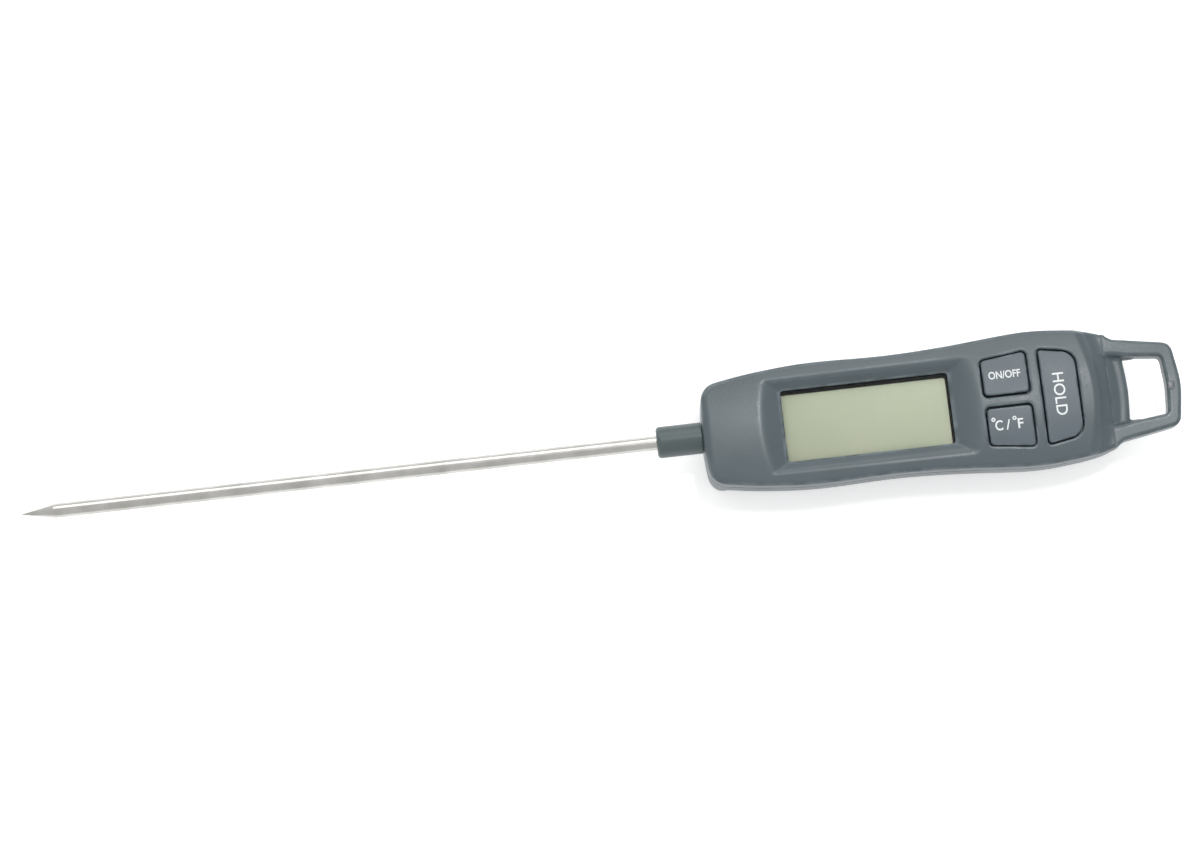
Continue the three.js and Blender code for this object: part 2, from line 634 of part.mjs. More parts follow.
function circuitBoard() {
  const blank = prism(roundedPolygon(rectangle(BOARD.x, [-BOARD.y, BOARD.y]), 1), BOARD.z);
  const notches = SCREWS.map(([x, y]) => drum(x, y, PILLAR.r + 0.3, [BOARD.z[0] - 1, BOARD.z[1] + 1]));
  return cut(blank, ...notches);
}

function resinBlob() {
  const { r, height } = BLOB;
  const base = BOARD.z[1] + FIT;
  const rise = (share, lift) => [r * share, base + height * lift];
  return turned([rise(0, 0), rise(1, 0), rise(0.9, 0.5), rise(0.65, 0.85), rise(0, 1)], 20);
}

function chip(length) {
  const base = BOARD.z[1] + FIT;
  return box([-length / 2, length / 2], [-CHIP.halfWidth, CHIP.halfWidth], [base, base + CHIP.height]);
}

// ---------------------------------------------------------------- probe

function probeTube() {
  return turnedOnProbe([
    [0, TIP_X], [PROBE_R, TIP_X + POINT_LENGTH], [PROBE_R, PROBE_END_X], [PROBE_BORE_R, PROBE_END_X],
    [PROBE_BORE_R, TIP_X + POINT_LENGTH + 0.5], [0, TIP_X + POINT_LENGTH - 2],
  ], 20);
}

function probeCollar() {
  const bore = PROBE_R + FIT;
  const chamfer = 0.3;
  return turnedOnProbe([
    [bore, COLLAR.x], [COLLAR.r - chamfer, COLLAR.x], [COLLAR.r, COLLAR.x + chamfer],
    [COLLAR.r, COLLAR.shoulder], [COLLAR.neckR, COLLAR.shoulder], [COLLAR.neckR, COLLAR.flange[0]],
    [COLLAR.flangeR, COLLAR.flange[0]], [COLLAR.flangeR, COLLAR.flange[1]], [bore, COLLAR.flange[1]],
  ], 28);
}

function probeFerrule() {
  const [front, rear] = FERRULE.x;
  const bore = PROBE_R + FIT;
  return turnedOnProbe([[bore, front], [FERRULE.r, front], [FERRULE.r, rear], [bore, rear]], 20);
}

function thermistor() {
  const bead = new THREE.CapsuleGeometry(SENSOR.r, SENSOR.length, 3, 10);
  return solid(bead.rotateZ(Math.PI / 2).translate(SENSOR.x, 0, AXIS_Z));
}

// A wire from the bead through the tube, then down to its pad on the board.
function sensorLead(side) {
  const start = SENSOR.x + SENSOR.length / 2 + SENSOR.r + 0.1;
  const y = side * LEAD.y;
  const straight = rod([start, LEAD.bendX], LEAD.r, 6).translate([0, y, 0]);
  const bend = new THREE.CubicBezierCurve3(
    new THREE.Vector3(LEAD.bendX - 0.2, y, AXIS_Z),
    new THREE.Vector3(LEAD.bendX + 2, y, AXIS_Z),
    new THREE.Vector3(LEAD.pad.x, side * LEAD.pad.y, AXIS_Z),
    new THREE.Vector3(LEAD.pad.x, side * LEAD.pad.y, BOARD.z[1] + FIT),
  );
  return join(straight, alongPath(LEAD.r, 6, bend));
}

// ---------------------------------------------------------------- screws

function caseScrew() {
  const [bottom, seat] = SCREW.head;
  const shank = turned([
    [0, bottom], [SCREW.headR - 0.4, bottom], [SCREW.headR, bottom + 0.3], [SCREW.headR, bottom + 0.8],
    [SCREW.r, seat], [SCREW.r, SCREW.point], [0, SCREW.tip],
  ], SMALL_ROUND);
  const long = [-RECESS.arm, RECESS.arm];
  const narrow = [-RECESS.half, RECESS.half];
  const depth = [bottom - 0.5, bottom + RECESS.depth];
  return cut(shank, box(long, narrow, depth), box(narrow, long, depth));
}

// ---------------------------------------------------------------- assembly

const thermometer = new THREE.Group();

function add(name, body, material, parent = thermometer) {
  const mesh = new THREE.Mesh(geometryOf(body), material);
  mesh.name = name;
  parent.add(mesh);
}

function groupAt(x, y) {
  const group = new THREE.Group();
  group.position.set(x, y, 0);
  thermometer.add(group);
  return group;
}

add('front_shell', frontShell(), housingPlastic());
add('rear_shell', rearShell(), housingPlastic());

add('probe_tube', probeTube(), steel());
add('probe_collar', probeCollar(), housingPlastic());
add('probe_ferrule', probeFerrule(), brass());
add('thermistor', thermistor(), resin());
add('sensor_lead_1', sensorLead(1), wireCoat(0xa8332b));
add('sensor_lead_2', sensorLead(-1), wireCoat(0x222326));

add('display_window', lens(), clearPlastic());
add('display_gasket', gasket(), blackRubber());
add('lcd_front_glass', frontGlass(), displayGlass());
add('lcd_rear_glass', rearGlass(), displayGlass());
add('lcd_reflector', reflector(), displayGlass());
add('zebra_strip_far', zebraStrip(1), blackRubber());
add('zebra_strip_near', zebraStrip(-1), blackRubber());

add('circuit_board', circuitBoard(), board());
add('controller_blob', resinBlob(), resin(), groupAt(BLOB.x, 0));
add('chip_capacitor', chip(CAPACITOR_LENGTH), ceramic(), groupAt(CHIP.x, CHIP.y));
add('chip_resistor', chip(RESISTOR_LENGTH), resin(), groupAt(CHIP.x, -CHIP.y));

for (const name of Object.keys(keyOpenings)) {
  add(`key_${name}`, key(name), keyPlastic());
  const spot = groupAt(...keyPress[name]);
  add(`switch_${name}`, switchBase(), blackPlastic(), spot);
  add(`plunger_${name}`, switchPlunger(), ceramic(), spot);
}

const bay = groupAt(BAY_X, 0);
add('coin_cell', coinCell(), steel(), bay);
add('contact_positive', contactPositive(), brass(), bay);
add('contact_negative', contactNegative(), brass(), bay);
add('battery_cover', batteryCover(), housingPlastic(), bay);
add('cover_seal', coverSeal(), blackRubber(), bay);

SCREWS.forEach(([x, y], i) => add(`case_screw_${i + 1}`, caseScrew(), steel(), groupAt(x, y)));

export default thermometer;
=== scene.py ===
"""Looks of the digital meat thermometer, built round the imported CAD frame.

The plastic mouldings are modelled as signed distances on a fine grid and meshed, so every edge has its own
small radius. Lengths are millimetres until a mesh is made. +X runs from the probe's tip to the hanging
loop, +Z points out of the display, and the housing lies on its back on Z = 0.
"""

import math

import bmesh
import bpy
import numpy as np
from mathutils import Matrix, Vector


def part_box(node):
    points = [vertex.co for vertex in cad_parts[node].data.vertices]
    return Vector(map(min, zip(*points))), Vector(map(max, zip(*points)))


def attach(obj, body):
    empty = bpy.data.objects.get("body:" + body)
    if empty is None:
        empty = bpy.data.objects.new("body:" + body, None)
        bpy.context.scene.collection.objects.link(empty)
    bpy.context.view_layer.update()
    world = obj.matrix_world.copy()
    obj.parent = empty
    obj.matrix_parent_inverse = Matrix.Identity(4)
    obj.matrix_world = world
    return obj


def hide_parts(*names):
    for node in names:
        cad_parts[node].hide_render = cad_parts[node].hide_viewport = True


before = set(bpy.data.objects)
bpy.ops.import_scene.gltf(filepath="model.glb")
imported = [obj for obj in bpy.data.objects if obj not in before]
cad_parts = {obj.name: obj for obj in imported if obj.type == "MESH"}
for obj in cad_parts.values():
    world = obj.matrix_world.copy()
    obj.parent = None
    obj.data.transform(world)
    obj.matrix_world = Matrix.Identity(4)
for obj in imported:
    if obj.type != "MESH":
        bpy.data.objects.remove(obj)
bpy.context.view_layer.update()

# ---------------------------------------------------------------- sizes

MM = 0.001
COARSE = 1
FRONT_CELL = 0.24 * COARSE
REAR_CELL = 0.3 * COARSE
KEY_CELL = 0.11 * COARSE
COVER_CELL = 0.16 * COARSE
SCREW_CELL = 0.08 * COARSE

# Housing
CROWN_R = 92                        # radius of the top face across the housing
TOP_EDGE = {"size": 1.1, "height": 1.9}
BACK_EDGE = {"size": 2.6, "height": 3.2}
BELLY = {"size": 2.4, "height": 7.5}    # how the long sides draw in towards the back
TOP_FILLET = 0.55
PARTING_FILLET = 0.28
WALL = 1.6
TAIL_WALL = 1.2
FLOOR = 1.5
PLATE_Z = 12.75                     # underside of the top face
RIDGE = {"x": 102.3, "r": 29.7, "fillet": 0.8}
REAR_SLOPE = {"foot": 107.2, "bend": (1.4, 1.3), "roll": (1.1, 3.0, 0.9)}
BACK_RISE = [(97, 0), (102, 1), (106.1, 8.4)]
LIP = {"z": 13.0, "fillet": 0.2}
BEZEL_FRONT = (34.7, 9.1)
BEZEL_REAR = (75.8, 9.8)
BEZEL_FILLETS = (0.35, 0.6)         # of the ridges before and behind the window
MITRE_FILLET = 0.12

# Hanging loop
LOOP_Z = (8.4, 12.4)
LOOP_FILLET = 0.55
LEDGE = {"z": 11.2, "fillet": 0.9, "corners": (0.7, 0.3)}   # the corners' radius ahead and at the opening
JOIN = {"fillet": 0.3, "overlap": 0.3}      # how the front moulding runs into the loop's root
ARMS = (108.9, 116.6)               # where the opening between the loop's arms starts and ends
GATE = {"x": 117.75, "y": -0.25, "half": (0.5, 0.65), "height": 0.12}   # the cut stub left by moulding

# Keys
KEY_FILLET = 0.32
KEY_WALL_Z = 13.2                   # a height where the caps stand straight
FLANGE_Z = (11.6, 12.65)

# Battery bay and cover
BORE = {"r": 8.6, "recess": 9.8, "outer": 10.2, "shoulder": 1.5, "top": 5.4}
CELL_RING = {"r": 7.2, "bore": 6.0, "z": (6.2, 7.2)}
COVER = {"skirt": 7.8, "bore": 6.6, "flange_top": 1.35, "floor": 1.7}
COIN_SLOT = {"length": 13, "width": 1.9, "depth": 0.8}

# Screws and the pillars they run through
BOSS_R = 2.2
PILOT_R = 1.0
PILLAR = {"r": 2.2, "foot": 2.9, "foot_top": 4}
HEAD = {"r": 2.15, "top": 2.3}
SCREW = {"core": 0.72, "thread": 0.95, "pitch": 0.8, "head": 1.9, "seat": 2.2}
RECESS = {"arm": 1.1, "half": 0.22, "depth": 0.8}

# Stage
FLOOR_GLOW = 0.35                   # light that comes through the floor, as on a light table

# Probe
RIB = (25.3, 26.5)
SEAT = {"neck": 2.65, "flange": 3.25, "flange_x": (22.75, 25.1), "probe": 1.55}
PROBE = {"cone": 7, "tip": 0.12, "bore": 1.15, "blend": 4, "mouth": 0.1}
COLLAR = {
    "neck": 2.6, "flange": 3.2, "bore": 1.55, "shoulder": 20.95, "front": 22.8, "nose": 0.75, "mouth": 0.2,
    "edge": 0.15,
}

# Legends
POWER_LEGEND = {"height": 1.6, "weight": 0.035, "width": 0.83, "shift": (-0.08, -0.12)}
UNITS_LEGEND = {"height": 2.1, "weight": 0.04, "shift": (-0.5, 0.6)}
UNITS_LETTERS = {"C": (-2.0, 0.85), "/": (-0.12, 1), "F": (2.45, 1)}    # place along the key, width
DEGREE_RINGS = {"places": [(-3.02, 1.28), (1.3, 1.2)], "inner": 0.17, "outer": 0.43}
HOLD_LEGEND = {"height": 2.4, "weight": 0.02, "shift": (-0.25, 0.15)}


def span(node):
    """Lowest and highest corner of a CAD node."""
    lo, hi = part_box(node)
    return np.array(lo) / MM, np.array(hi) / MM


def middle(node):
    lo, hi = span(node)
    return (lo + hi) / 2


AXIS_Z = middle("probe_tube")[2]
BAY_X = middle("coin_cell")[0]
SCREWS = [middle(f"case_screw_{i}")[:2] for i in range(1, 5)]

# ---------------------------------------------------------------- outlines, cut from the frame


def cut_edge(a, b, z):
    """Where the edge from a to b passes the height z, or None."""
    if (a[2] < z) == (b[2] < z):
        return None
    if tuple(a) > tuple(b):
        a, b = b, a
    point = a + (b - a) * (z - a[2]) / (b[2] - a[2])
    return round(float(point[0]), 4), round(float(point[1]), 4)


def sections(node, z):
    """The closed outlines of a CAD node at a height, largest first."""
    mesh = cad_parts[node].data
    mesh.calc_loop_triangles()
    points = np.array([v.co for v in mesh.vertices]) / MM
    following = {}
    for triangle in mesh.loop_triangles:
        a, b, c = points[list(triangle.vertices)]
        ends = [p for p in (cut_edge(a, b, z), cut_edge(b, c, z), cut_edge(c, a, z)) if p]
        if len(ends) != 2 or ends[0] == ends[1]:
            continue
        normal = np.cross(b - a, c - a)
        along = np.subtract(ends[1], ends[0])
        if along[1] * normal[0] - along[0] * normal[1] < 0:
            ends.reverse()
        following[ends[0]] = ends[1]
    loops = []
    while following:
        start, point = following.popitem()
        loop = [start]
        while point != start:
            loop.append(point)
            point = following.pop(point)
        loops.append(without_straights(np.array(loop)))
    return sorted(loops, key=lambda loop: -np.prod(np.ptp(loop, axis=0)))


def turns(points):
    """The angle that a closed outline turns at each point, in degrees."""
    before = points - np.roll(points, 1, axis=0)
    after = np.roll(points, -1, axis=0) - points
    cross = before[:, 0] * after[:, 1] - before[:, 1] * after[:, 0]
    return np.degrees(np.arctan2(cross, (before * after).sum(1)))


def without_straights(points, least=0.1):
    """The outline without the points that lie along a straight side."""
    return points[np.abs(turns(points)) > least]


def smooth(points, step, corner=35):
    """The outline as a fine curve through its points, with its sharp corners kept."""
    sharp = np.abs(turns(points)) > corner
    before = points - np.roll(points, 1, axis=0)
    after = np.roll(points, -1, axis=0) - points
    back = np.linalg.norm(before, axis=1)[:, None]
    ahead = np.linalg.norm(after, axis=1)[:, None]
    blend = before / back * ahead + after / ahead * back
    straight = np.where(back > ahead, before / back, after / ahead)
    uneven = np.maximum(back, ahead) > 2.5 * np.minimum(back, ahead)
    tangent = np.where(uneven, straight, blend / np.linalg.norm(blend, axis=1)[:, None])
    fine = []
    for i, start in enumerate(points):
        j = (i + 1) % len(points)
        length = ahead[i, 0]
        leave = after[i] if sharp[i] else tangent[i] * length
        arrive = after[i] if sharp[j] else tangent[j] * length
        t = np.arange(0, 1, 1 / max(1, round(length / step)))[:, None]
        fine.append(
            (2 * t**3 - 3 * t**2 + 1) * start + (t**3 - 2 * t**2 + t) * leave
            + (3 * t**2 - 2 * t**3) * points[j] + (t**3 - t**2) * arrive
        )
    return np.concatenate(fine)


# ---------------------------------------------------------------- signed distances


class Grid:
    """Evenly spaced points over a box, as arrays that broadcast together. Distances are negative inside."""

    def __init__(self, lo, hi, cell):
        self.cell = cell
        self.start = np.array(lo, float) - 2.5 * cell
        counts = np.ceil((np.array(hi, float) - self.start) / cell).astype(int) + 3
        x, y, z = (self.start[i] + cell * np.arange(counts[i]) for i in range(3))
        self.x = x[:, None, None]
        self.y = y[None, :, None]
        self.z = z[None, None, :]


def outline_distance(outline, u, v):
    """Signed distance from a closed outline, for points given by two arrays that broadcast together."""
    nearest = np.inf
    inside = False
    for (au, av), (bu, bv) in zip(outline, np.roll(outline, -1, axis=0)):
        du, dv = bu - au, bv - av
        wu, wv = u - au, v - av
        t = np.clip((wu * du + wv * dv) / (du * du + dv * dv), 0, 1)
        nearest = np.minimum(nearest, (wu - t * du) ** 2 + (wv - t * dv) ** 2)
        if dv != 0:
            inside = inside ^ (((av > v) != (bv > v)) & (wu < du * wv / dv))
    return np.where(inside, -1, 1) * np.sqrt(nearest)


def both(a, b, r=0.0):
    """What lies in a and in b, with the edge between them rounded to radius r."""
    if np.all(np.equal(r, 0)):
        return np.maximum(a, b)
    corner = np.hypot(np.maximum(a + r, 0), np.maximum(b + r, 0))
    return np.minimum(np.maximum(a, b), -r) + corner


def either(a, b, r=0.0):
    """What lies in a or in b, with the inner corner between them filled to radius r."""
    return -both(-a, -b, r)


def without(a, b, r=0.0):
    return both(a, -b, r)


def slab(values, lo, hi):
    """The layer where values run from lo to hi."""
    return np.maximum(lo - values, values - hi)


def block(grid, x, y, z, r=0.0):
    """A box between pairs of limits, with its upright edges rounded."""
    plan = both(slab(grid.x, *x), slab(grid.y, *y), r)
    return np.maximum(plan, slab(grid.z, *z))


def drum(grid, x, y, r, z):
    """An upright cylinder."""
    return np.maximum(np.hypot(grid.x - x, grid.y - y) - r, slab(grid.z, *z))


def rod(grid, r, x):
    """A cylinder round the probe's axis."""
    return np.maximum(np.hypot(grid.y, grid.z - AXIS_Z) - r, slab(grid.x, *x))


def rounded_end(depth, edge):
    """How far a side has drawn in at a depth below the end face that it curves into, and its slope there."""
    share = np.clip(1 - depth / edge["height"], 0, 0.97)
    inset = edge["size"] * (1 - np.sqrt(1 - share**2))
    slope = edge["size"] / edge["height"] * share / np.sqrt(1 - share**2)
    return inset, np.sqrt(1 + slope**2)


# ---------------------------------------------------------------- meshing


def surface(values, grid):
    """Points, faces and outward normals of the surface where the distances pass zero, as a surface net."""
    inside = values < 0
    shape = np.array(values.shape) - 1
    corners = [(i, j, k) for i in (0, 1) for j in (0, 1) for k in (0, 1)]

    def shifted(array, offset):
        return array[tuple(slice(o, o + n) for o, n in zip(offset, shape))]

    filled = sum(shifted(inside, c).astype(np.int8) for c in corners)
    crossed = (filled > 0) & (filled < 8)
    cells = np.argwhere(crossed)
    number = np.full(shape, -1)
    number[crossed] = np.arange(len(cells))

    at = {c: values[tuple((cells + c).T)] for c in corners}
    total = np.zeros((len(cells), 3))
    hits = np.zeros(len(cells))
    for c in corners:
        for axis in range(3):
            if c[axis]:
                continue
            far = tuple(o + (i == axis) for i, o in enumerate(c))
            a, b = at[c], at[far]
            hit = (a < 0) != (b < 0)
            share = np.where(hit, a / np.where(hit, a - b, 1), 0)
            crossing = np.tile(np.array(c, float), (len(cells), 1))
            crossing[:, axis] += share
            total += np.where(hit[:, None], crossing, 0)
            hits += hit
    points = grid.start + (cells + total / hits[:, None]) * grid.cell

    faces = []
    for axis in range(3):
        u, v = (axis + 1) % 3, (axis + 2) % 3
        near = np.take(inside, range(shape[axis]), axis)
        far = np.take(inside, range(1, shape[axis] + 1), axis)
        edges = np.argwhere(near != far)
        edges = edges[((edges[:, [u, v]] > 0) & (edges[:, [u, v]] < shape[[u, v]])).all(1)]
        quad = []
        for du, dv in ((1, 1), (0, 1), (0, 0), (1, 0)):
            cell = edges.copy()
            cell[:, u] -= du
            cell[:, v] -= dv
            quad.append(number[tuple(cell.T)])
        quad = np.stack(quad, 1)
        outward = near[tuple(edges.T)]
        faces.append(np.where(outward[:, None], quad, quad[:, ::-1]))
    faces = np.concatenate(faces)

    slope = gradient(values, grid, points)
    size = np.maximum(np.linalg.norm(slope, axis=1), 0.3)
    step = np.clip(sample(values, grid, points) / size, -0.3 * grid.cell, 0.3 * grid.cell)
    normals = slope / size[:, None]
    points = points - normals * step[:, None]
    return points, faces, gradient(values, grid, points)


def sample(values, grid, points):
    """Values between the grid's points."""
    place = (points - grid.start) / grid.cell
    low = np.clip(np.floor(place).astype(int), 0, np.array(values.shape) - 2)
    share = place - low
    result = 0
    for corner in np.ndindex(2, 2, 2):
        weight = np.prod(np.where(corner, share, 1 - share), axis=1)
        result = result + weight * values[tuple((low + corner).T)]
    return result


def gradient(values, grid, points, reach=0.8):
    """Direction in which the distance grows."""
    steps = np.eye(3) * grid.cell * reach
    slope = [sample(values, grid, points + s) - sample(values, grid, points - s) for s in steps]
    return np.stack(slope, 1) / (2 * grid.cell * reach)


def bend(values, grid, points, reach=1.5):
    """How sharply the surface bends, in 1/mm: positive on outer edges, negative in inner corners."""
    step = grid.cell * reach
    around = [sample(values, grid, points + s) + sample(values, grid, points - s) for s in np.eye(3) * step]
    return (sum(around) - 6 * sample(values, grid, points)) / step**2


def new_object(name, points, faces, normals=None):
    """A smooth-shaded mesh object, from millimetres."""
    mesh = bpy.data.meshes.new(name)
    mesh.from_pydata(points * MM, [], faces)
    mesh.shade_smooth()
    if normals is not None:
        size = np.linalg.norm(normals, axis=1)[:, None]
        mesh.normals_split_custom_set_from_vertices(normals / np.maximum(size, 1e-9))
    piece = bpy.data.objects.new(name, mesh)
    bpy.context.scene.collection.objects.link(piece)
    return piece


def moulded(name, values, grid, extra=None):
    """A piece from its distances, with how its edges bend stored for its material."""
    points, faces, normals = surface(values, grid)
    piece = new_object(name, points, faces, normals)
    store(piece, "bend", bend(values, grid, points))
    if extra is not None:
        store(piece, "scuff", extra(points))
    return piece


def store(piece, name, numbers):
    attribute = piece.data.attributes.new(name, "FLOAT", "POINT")
    attribute.data.foreach_set("value", np.asarray(numbers, np.float32))


def finish_piece(piece, look, body, slot, *nodes):
    """Gives a piece its material and its place in the frame."""
    piece.data.materials.append(look)
    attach(piece, body)
    if nodes:
        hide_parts(*nodes)
    return piece


# ---------------------------------------------------------------- housing

SLACK = 0.02                        # how far the mouldings stay inside the CAD outline
OUTLINE_Z = AXIS_Z - SEAT["neck"] - 0.2     # just below the opening for the collar's neck
body_outline = smooth(sections("rear_shell", OUTLINE_Z)[0], 0.7)
loop_outlines = sections("rear_shell", (AXIS_Z + LEDGE["z"]) / 2)
loop_outline = smooth(loop_outlines[0], 0.5)
loop_hole = smooth(loop_outlines[1], 0.4)


def body_side(grid):
    """Signed distance from the housing's upright sides."""
    drawn_in, _ = rounded_end(OUTLINE_Z, BELLY)
    return outline_distance(body_outline, grid.x, grid.y) + SLACK - drawn_in


def joined_plan(grid):
    """Signed distance from the housing's upright sides and the loop's, run together."""
    loop = outline_distance(loop_outline, grid.x, grid.y) + SLACK
    return either(body_side(grid), loop, JOIN["fillet"])


def belly(grid, wall=0.0, floor=0.0):
    """The room between the long sides where they curve in towards the back."""
    half = body_outline[(body_outline[:, 1] > 0) & (body_outline[:, 0] > RIB[0])]
    half = half[np.argsort(half[:, 0])]
    drawn_in, _ = rounded_end(OUTLINE_Z, BELLY)
    inset, stretch = rounded_end(grid.z - floor, BELLY)
    return (np.abs(grid.y) - np.interp(grid.x, *half.T) - drawn_in + SLACK + wall + inset) / stretch


def crown(y):
    """Height of the top face."""
    _, hi = span("front_shell")
    return hi[2] - CROWN_R + np.sqrt(CROWN_R**2 - y**2)


def above_crown(grid, lowered=0.0):
    return (grid.z - crown(grid.y) + lowered) * np.sqrt(1 - (grid.y / CROWN_R) ** 2)


def plane(grid, a, b, c, inside):
    """Signed distance from the plane through three points, negative on the side of a fourth."""
    a, b, c, inside = (np.array(p, float) for p in (a, b, c, inside))
    normal = np.cross(b - a, c - a)
    normal /= np.linalg.norm(normal)
    if np.dot(inside - a, normal) > 0:
        normal = -normal
    return (grid.x - a[0]) * normal[0] + (grid.y - a[1]) * normal[1] + (grid.z - a[2]) * normal[2]


def opening_outlines():
    """The window and the key openings, from a level cut through the top face."""
    loops = sections("front_shell", (PLATE_Z + LIP["z"]) / 2)[1:]
    places = {"window": middle("display_window")}
    places.update({name: middle(f"key_{name}") for name in KEY_NAMES})

    def nearest(place):
        centres = [(loop.min(0) + loop.max(0)) / 2 for loop in loops]
        return loops[int(np.argmin([np.linalg.norm(c - place[:2]) for c in centres]))]

    return {name: nearest(place) for name, place in places.items()}


KEY_NAMES = ("power", "units", "hold")
OPENINGS = opening_outlines()


def window_recess(grid):
    """The four bevels round the window."""
    (x0, y0), (x1, y1) = OPENINGS["window"].min(0), OPENINGS["window"].max(0)
    z = LIP["z"]
    front = [(BEZEL_FRONT[0], s * BEZEL_FRONT[1], crown(BEZEL_FRONT[1])) for s in (-1, 1)]
    rear = [(BEZEL_REAR[0], s * BEZEL_REAR[1], crown(BEZEL_REAR[1])) for s in (-1, 1)]
    centre = ((x0 + x1) / 2, 0, z + 1)
    left = plane(grid, (x0, y0, z), (x0, y1, z), front[0], centre)
    right = plane(grid, (x1, y0, z), (x1, y1, z), rear[0], centre)
    near = plane(grid, (x0, y0, z), (x1, y0, z), (centre[0], *np.add(front[0], rear[0])[1:] / 2), centre)
    far = plane(grid, (x0, y1, z), (x1, y1, z), (centre[0], *np.add(front[1], rear[1])[1:] / 2), centre)
    bevels = both(np.maximum(left, right), np.maximum(near, far), MITRE_FILLET)
    return np.maximum(bevels, z - 0.1 - grid.z)


def rear_slope(grid, dx=0.0, dz=0.0):
    """The space behind the ridge, above the slope that drops to the loop's ledge and rolls over its edge."""
    foot = np.array([RIDGE["r"] + REAR_SLOPE["foot"] - RIDGE["x"], LEDGE["z"]])
    start = np.array([RIDGE["r"], span("front_shell")[1][2]])
    control = np.array([RIDGE["r"], LEDGE["z"]]) + REAR_SLOPE["bend"]
    t = np.linspace(0, 1, 17)[:, None]
    curve = (1 - t) ** 2 * start + 2 * t * (1 - t) * control + t**2 * foot
    level, reach, drop = REAR_SLOPE["roll"]
    turn = np.linspace(0.2, 1, 5)[:, None] * (reach - level)
    roll = foot + np.hstack([level + turn, -drop * (turn / (reach - level)) ** 2])
    beyond = [[foot[0] + 20, foot[1] - drop], [foot[0] + 20, 25], [RIDGE["r"], 25]]
    profile = np.concatenate([curve, [foot + (level, 0)], roll, beyond])
    around = np.hypot(grid.x - dx - RIDGE["x"] + RIDGE["r"], grid.y)
    return np.maximum(outline_distance(profile, around, grid.z - dz), RIDGE["x"] - 20 - grid.x)


def between_arms(grid):
    """The room between the straight inner sides of the loop's arms, run on towards the ridge."""
    x, y = loop_hole.T
    side = loop_hole[(y > 0) & (x > ARMS[0] + 0.8) & (x < ARMS[1] - 1.5)]
    slope, start = np.polyfit(side[:, 0], side[:, 1], 1)
    return (np.abs(grid.y) - slope * grid.x - start) / math.hypot(1, slope)


def back_slope(grid, dx=0.0, dz=0.0):
    """The space under the rear end, where the back curves up to the loop."""
    t = np.linspace(0, 1, 9)[:, None]
    start, control, finish = (np.array(p, float) for p in BACK_RISE)
    curve = (1 - t) ** 2 * start + 2 * t * (1 - t) * control + t**2 * finish
    profile = np.concatenate([curve, [[finish[0] + 20, finish[1]], [finish[0] + 20, -20], [start[0], -20]]])
    return outline_distance(profile, grid.x - dx, grid.z - dz)


def collar_seat(grid):
    """The room for the collar's neck and flange and for the probe."""
    nose = span("front_shell")[0][0]
    front, rear = SEAT["flange_x"]
    neck = rod(grid, SEAT["neck"], (nose - 3, front + 0.1))
    flange = rod(grid, SEAT["flange"], (front, rear))
    probe = rod(grid, SEAT["probe"], (rear - 0.1, RIB[1] + 1))
    return np.minimum(np.minimum(neck, flange), probe)


def front_shell():
    lo, hi = span("front_shell")
    grid = Grid(lo, hi, FRONT_CELL)
    side = body_side(grid)
    inset, stretch = rounded_end(hi[2] + 0.1 - grid.z, TOP_EDGE)
    outside = both((joined_plan(grid) + inset) / stretch, above_crown(grid), TOP_FILLET)
    arms = both(-between_arms(grid), grid.z - LOOP_Z[1], LOOP_FILLET)
    outside = without(outside, without(rear_slope(grid), arms, LEDGE["corners"][0]), RIDGE["fillet"])
    outside = np.maximum(outside, grid.x - hi[0] - JOIN["overlap"])
    soft = np.interp(grid.x, [BEZEL_FRONT[0], BEZEL_REAR[0]], BEZEL_FILLETS)
    outside = without(outside, window_recess(grid), soft)

    cavity = np.maximum(side + WALL, grid.z - PLATE_Z)
    cavity = np.maximum(cavity, grid.x - hi[0] + WALL)
    cavity = without(cavity, rear_slope(grid, -WALL, -TAIL_WALL))
    shell = without(outside, cavity)
    for x, y in SCREWS:
        shell = np.minimum(shell, drum(grid, x, y, BOSS_R, (lo[2], PLATE_Z + 0.2)))
    rib = np.maximum(slab(grid.x, *RIB), side + WALL / 2)
    shell = np.minimum(shell, np.maximum(rib, grid.z - PLATE_Z - 0.5))
    shell = both(shell, lo[2] - grid.z, PARTING_FILLET)
    for x, y in SCREWS:
        shell = without(shell, drum(grid, x, y, PILOT_R, (lo[2] - 2, PLATE_Z - 0.15)))

    for name, outline in OPENINGS.items():
        fine = outline if name == "window" else smooth(outline, 0.3)
        hole = outline_distance(fine, grid.x, grid.y) + 0 * grid.z
        shell = without(shell, hole, LIP["fillet"] if name == "window" else 0.3)
    shell = without(shell, collar_seat(grid), 0.15)
    piece = moulded("front_shell_moulding", shell, grid)
    finish_piece(piece, housing_look, "housing", "housing_plastic", "front_shell")


def loop_distance(grid):
    """The hanging loop with its ledge between the arms."""
    hole = outline_distance(loop_hole, grid.x, grid.y)
    loop = both(joined_plan(grid), slab(grid.z, *LOOP_Z), LOOP_FILLET)
    loop = np.maximum(loop, span("front_shell")[1][0] - JOIN["overlap"] - grid.x)
    root = np.maximum(between_arms(grid), grid.x - ARMS[0] - 1)
    rim = loop_hole[loop_hole[:, 0] < np.mean(ARMS)]
    rim = rim[np.argsort(rim[:, 1])]
    beyond = np.interp(grid.y, rim[:, 1], rim[:, 0]) - grid.x
    floor = either(rear_slope(grid), beyond, LOOP_FILLET)
    corner = np.interp(grid.x, (ARMS[0] - 1.4, ARMS[0]), LEDGE["corners"])
    opening = both(np.minimum(hole, root), floor, corner)
    fillet = np.interp(grid.x, (ARMS[0] - 1.4, ARMS[0] + 0.6), (LEDGE["fillet"], LOOP_FILLET))
    return without(loop, opening, fillet)


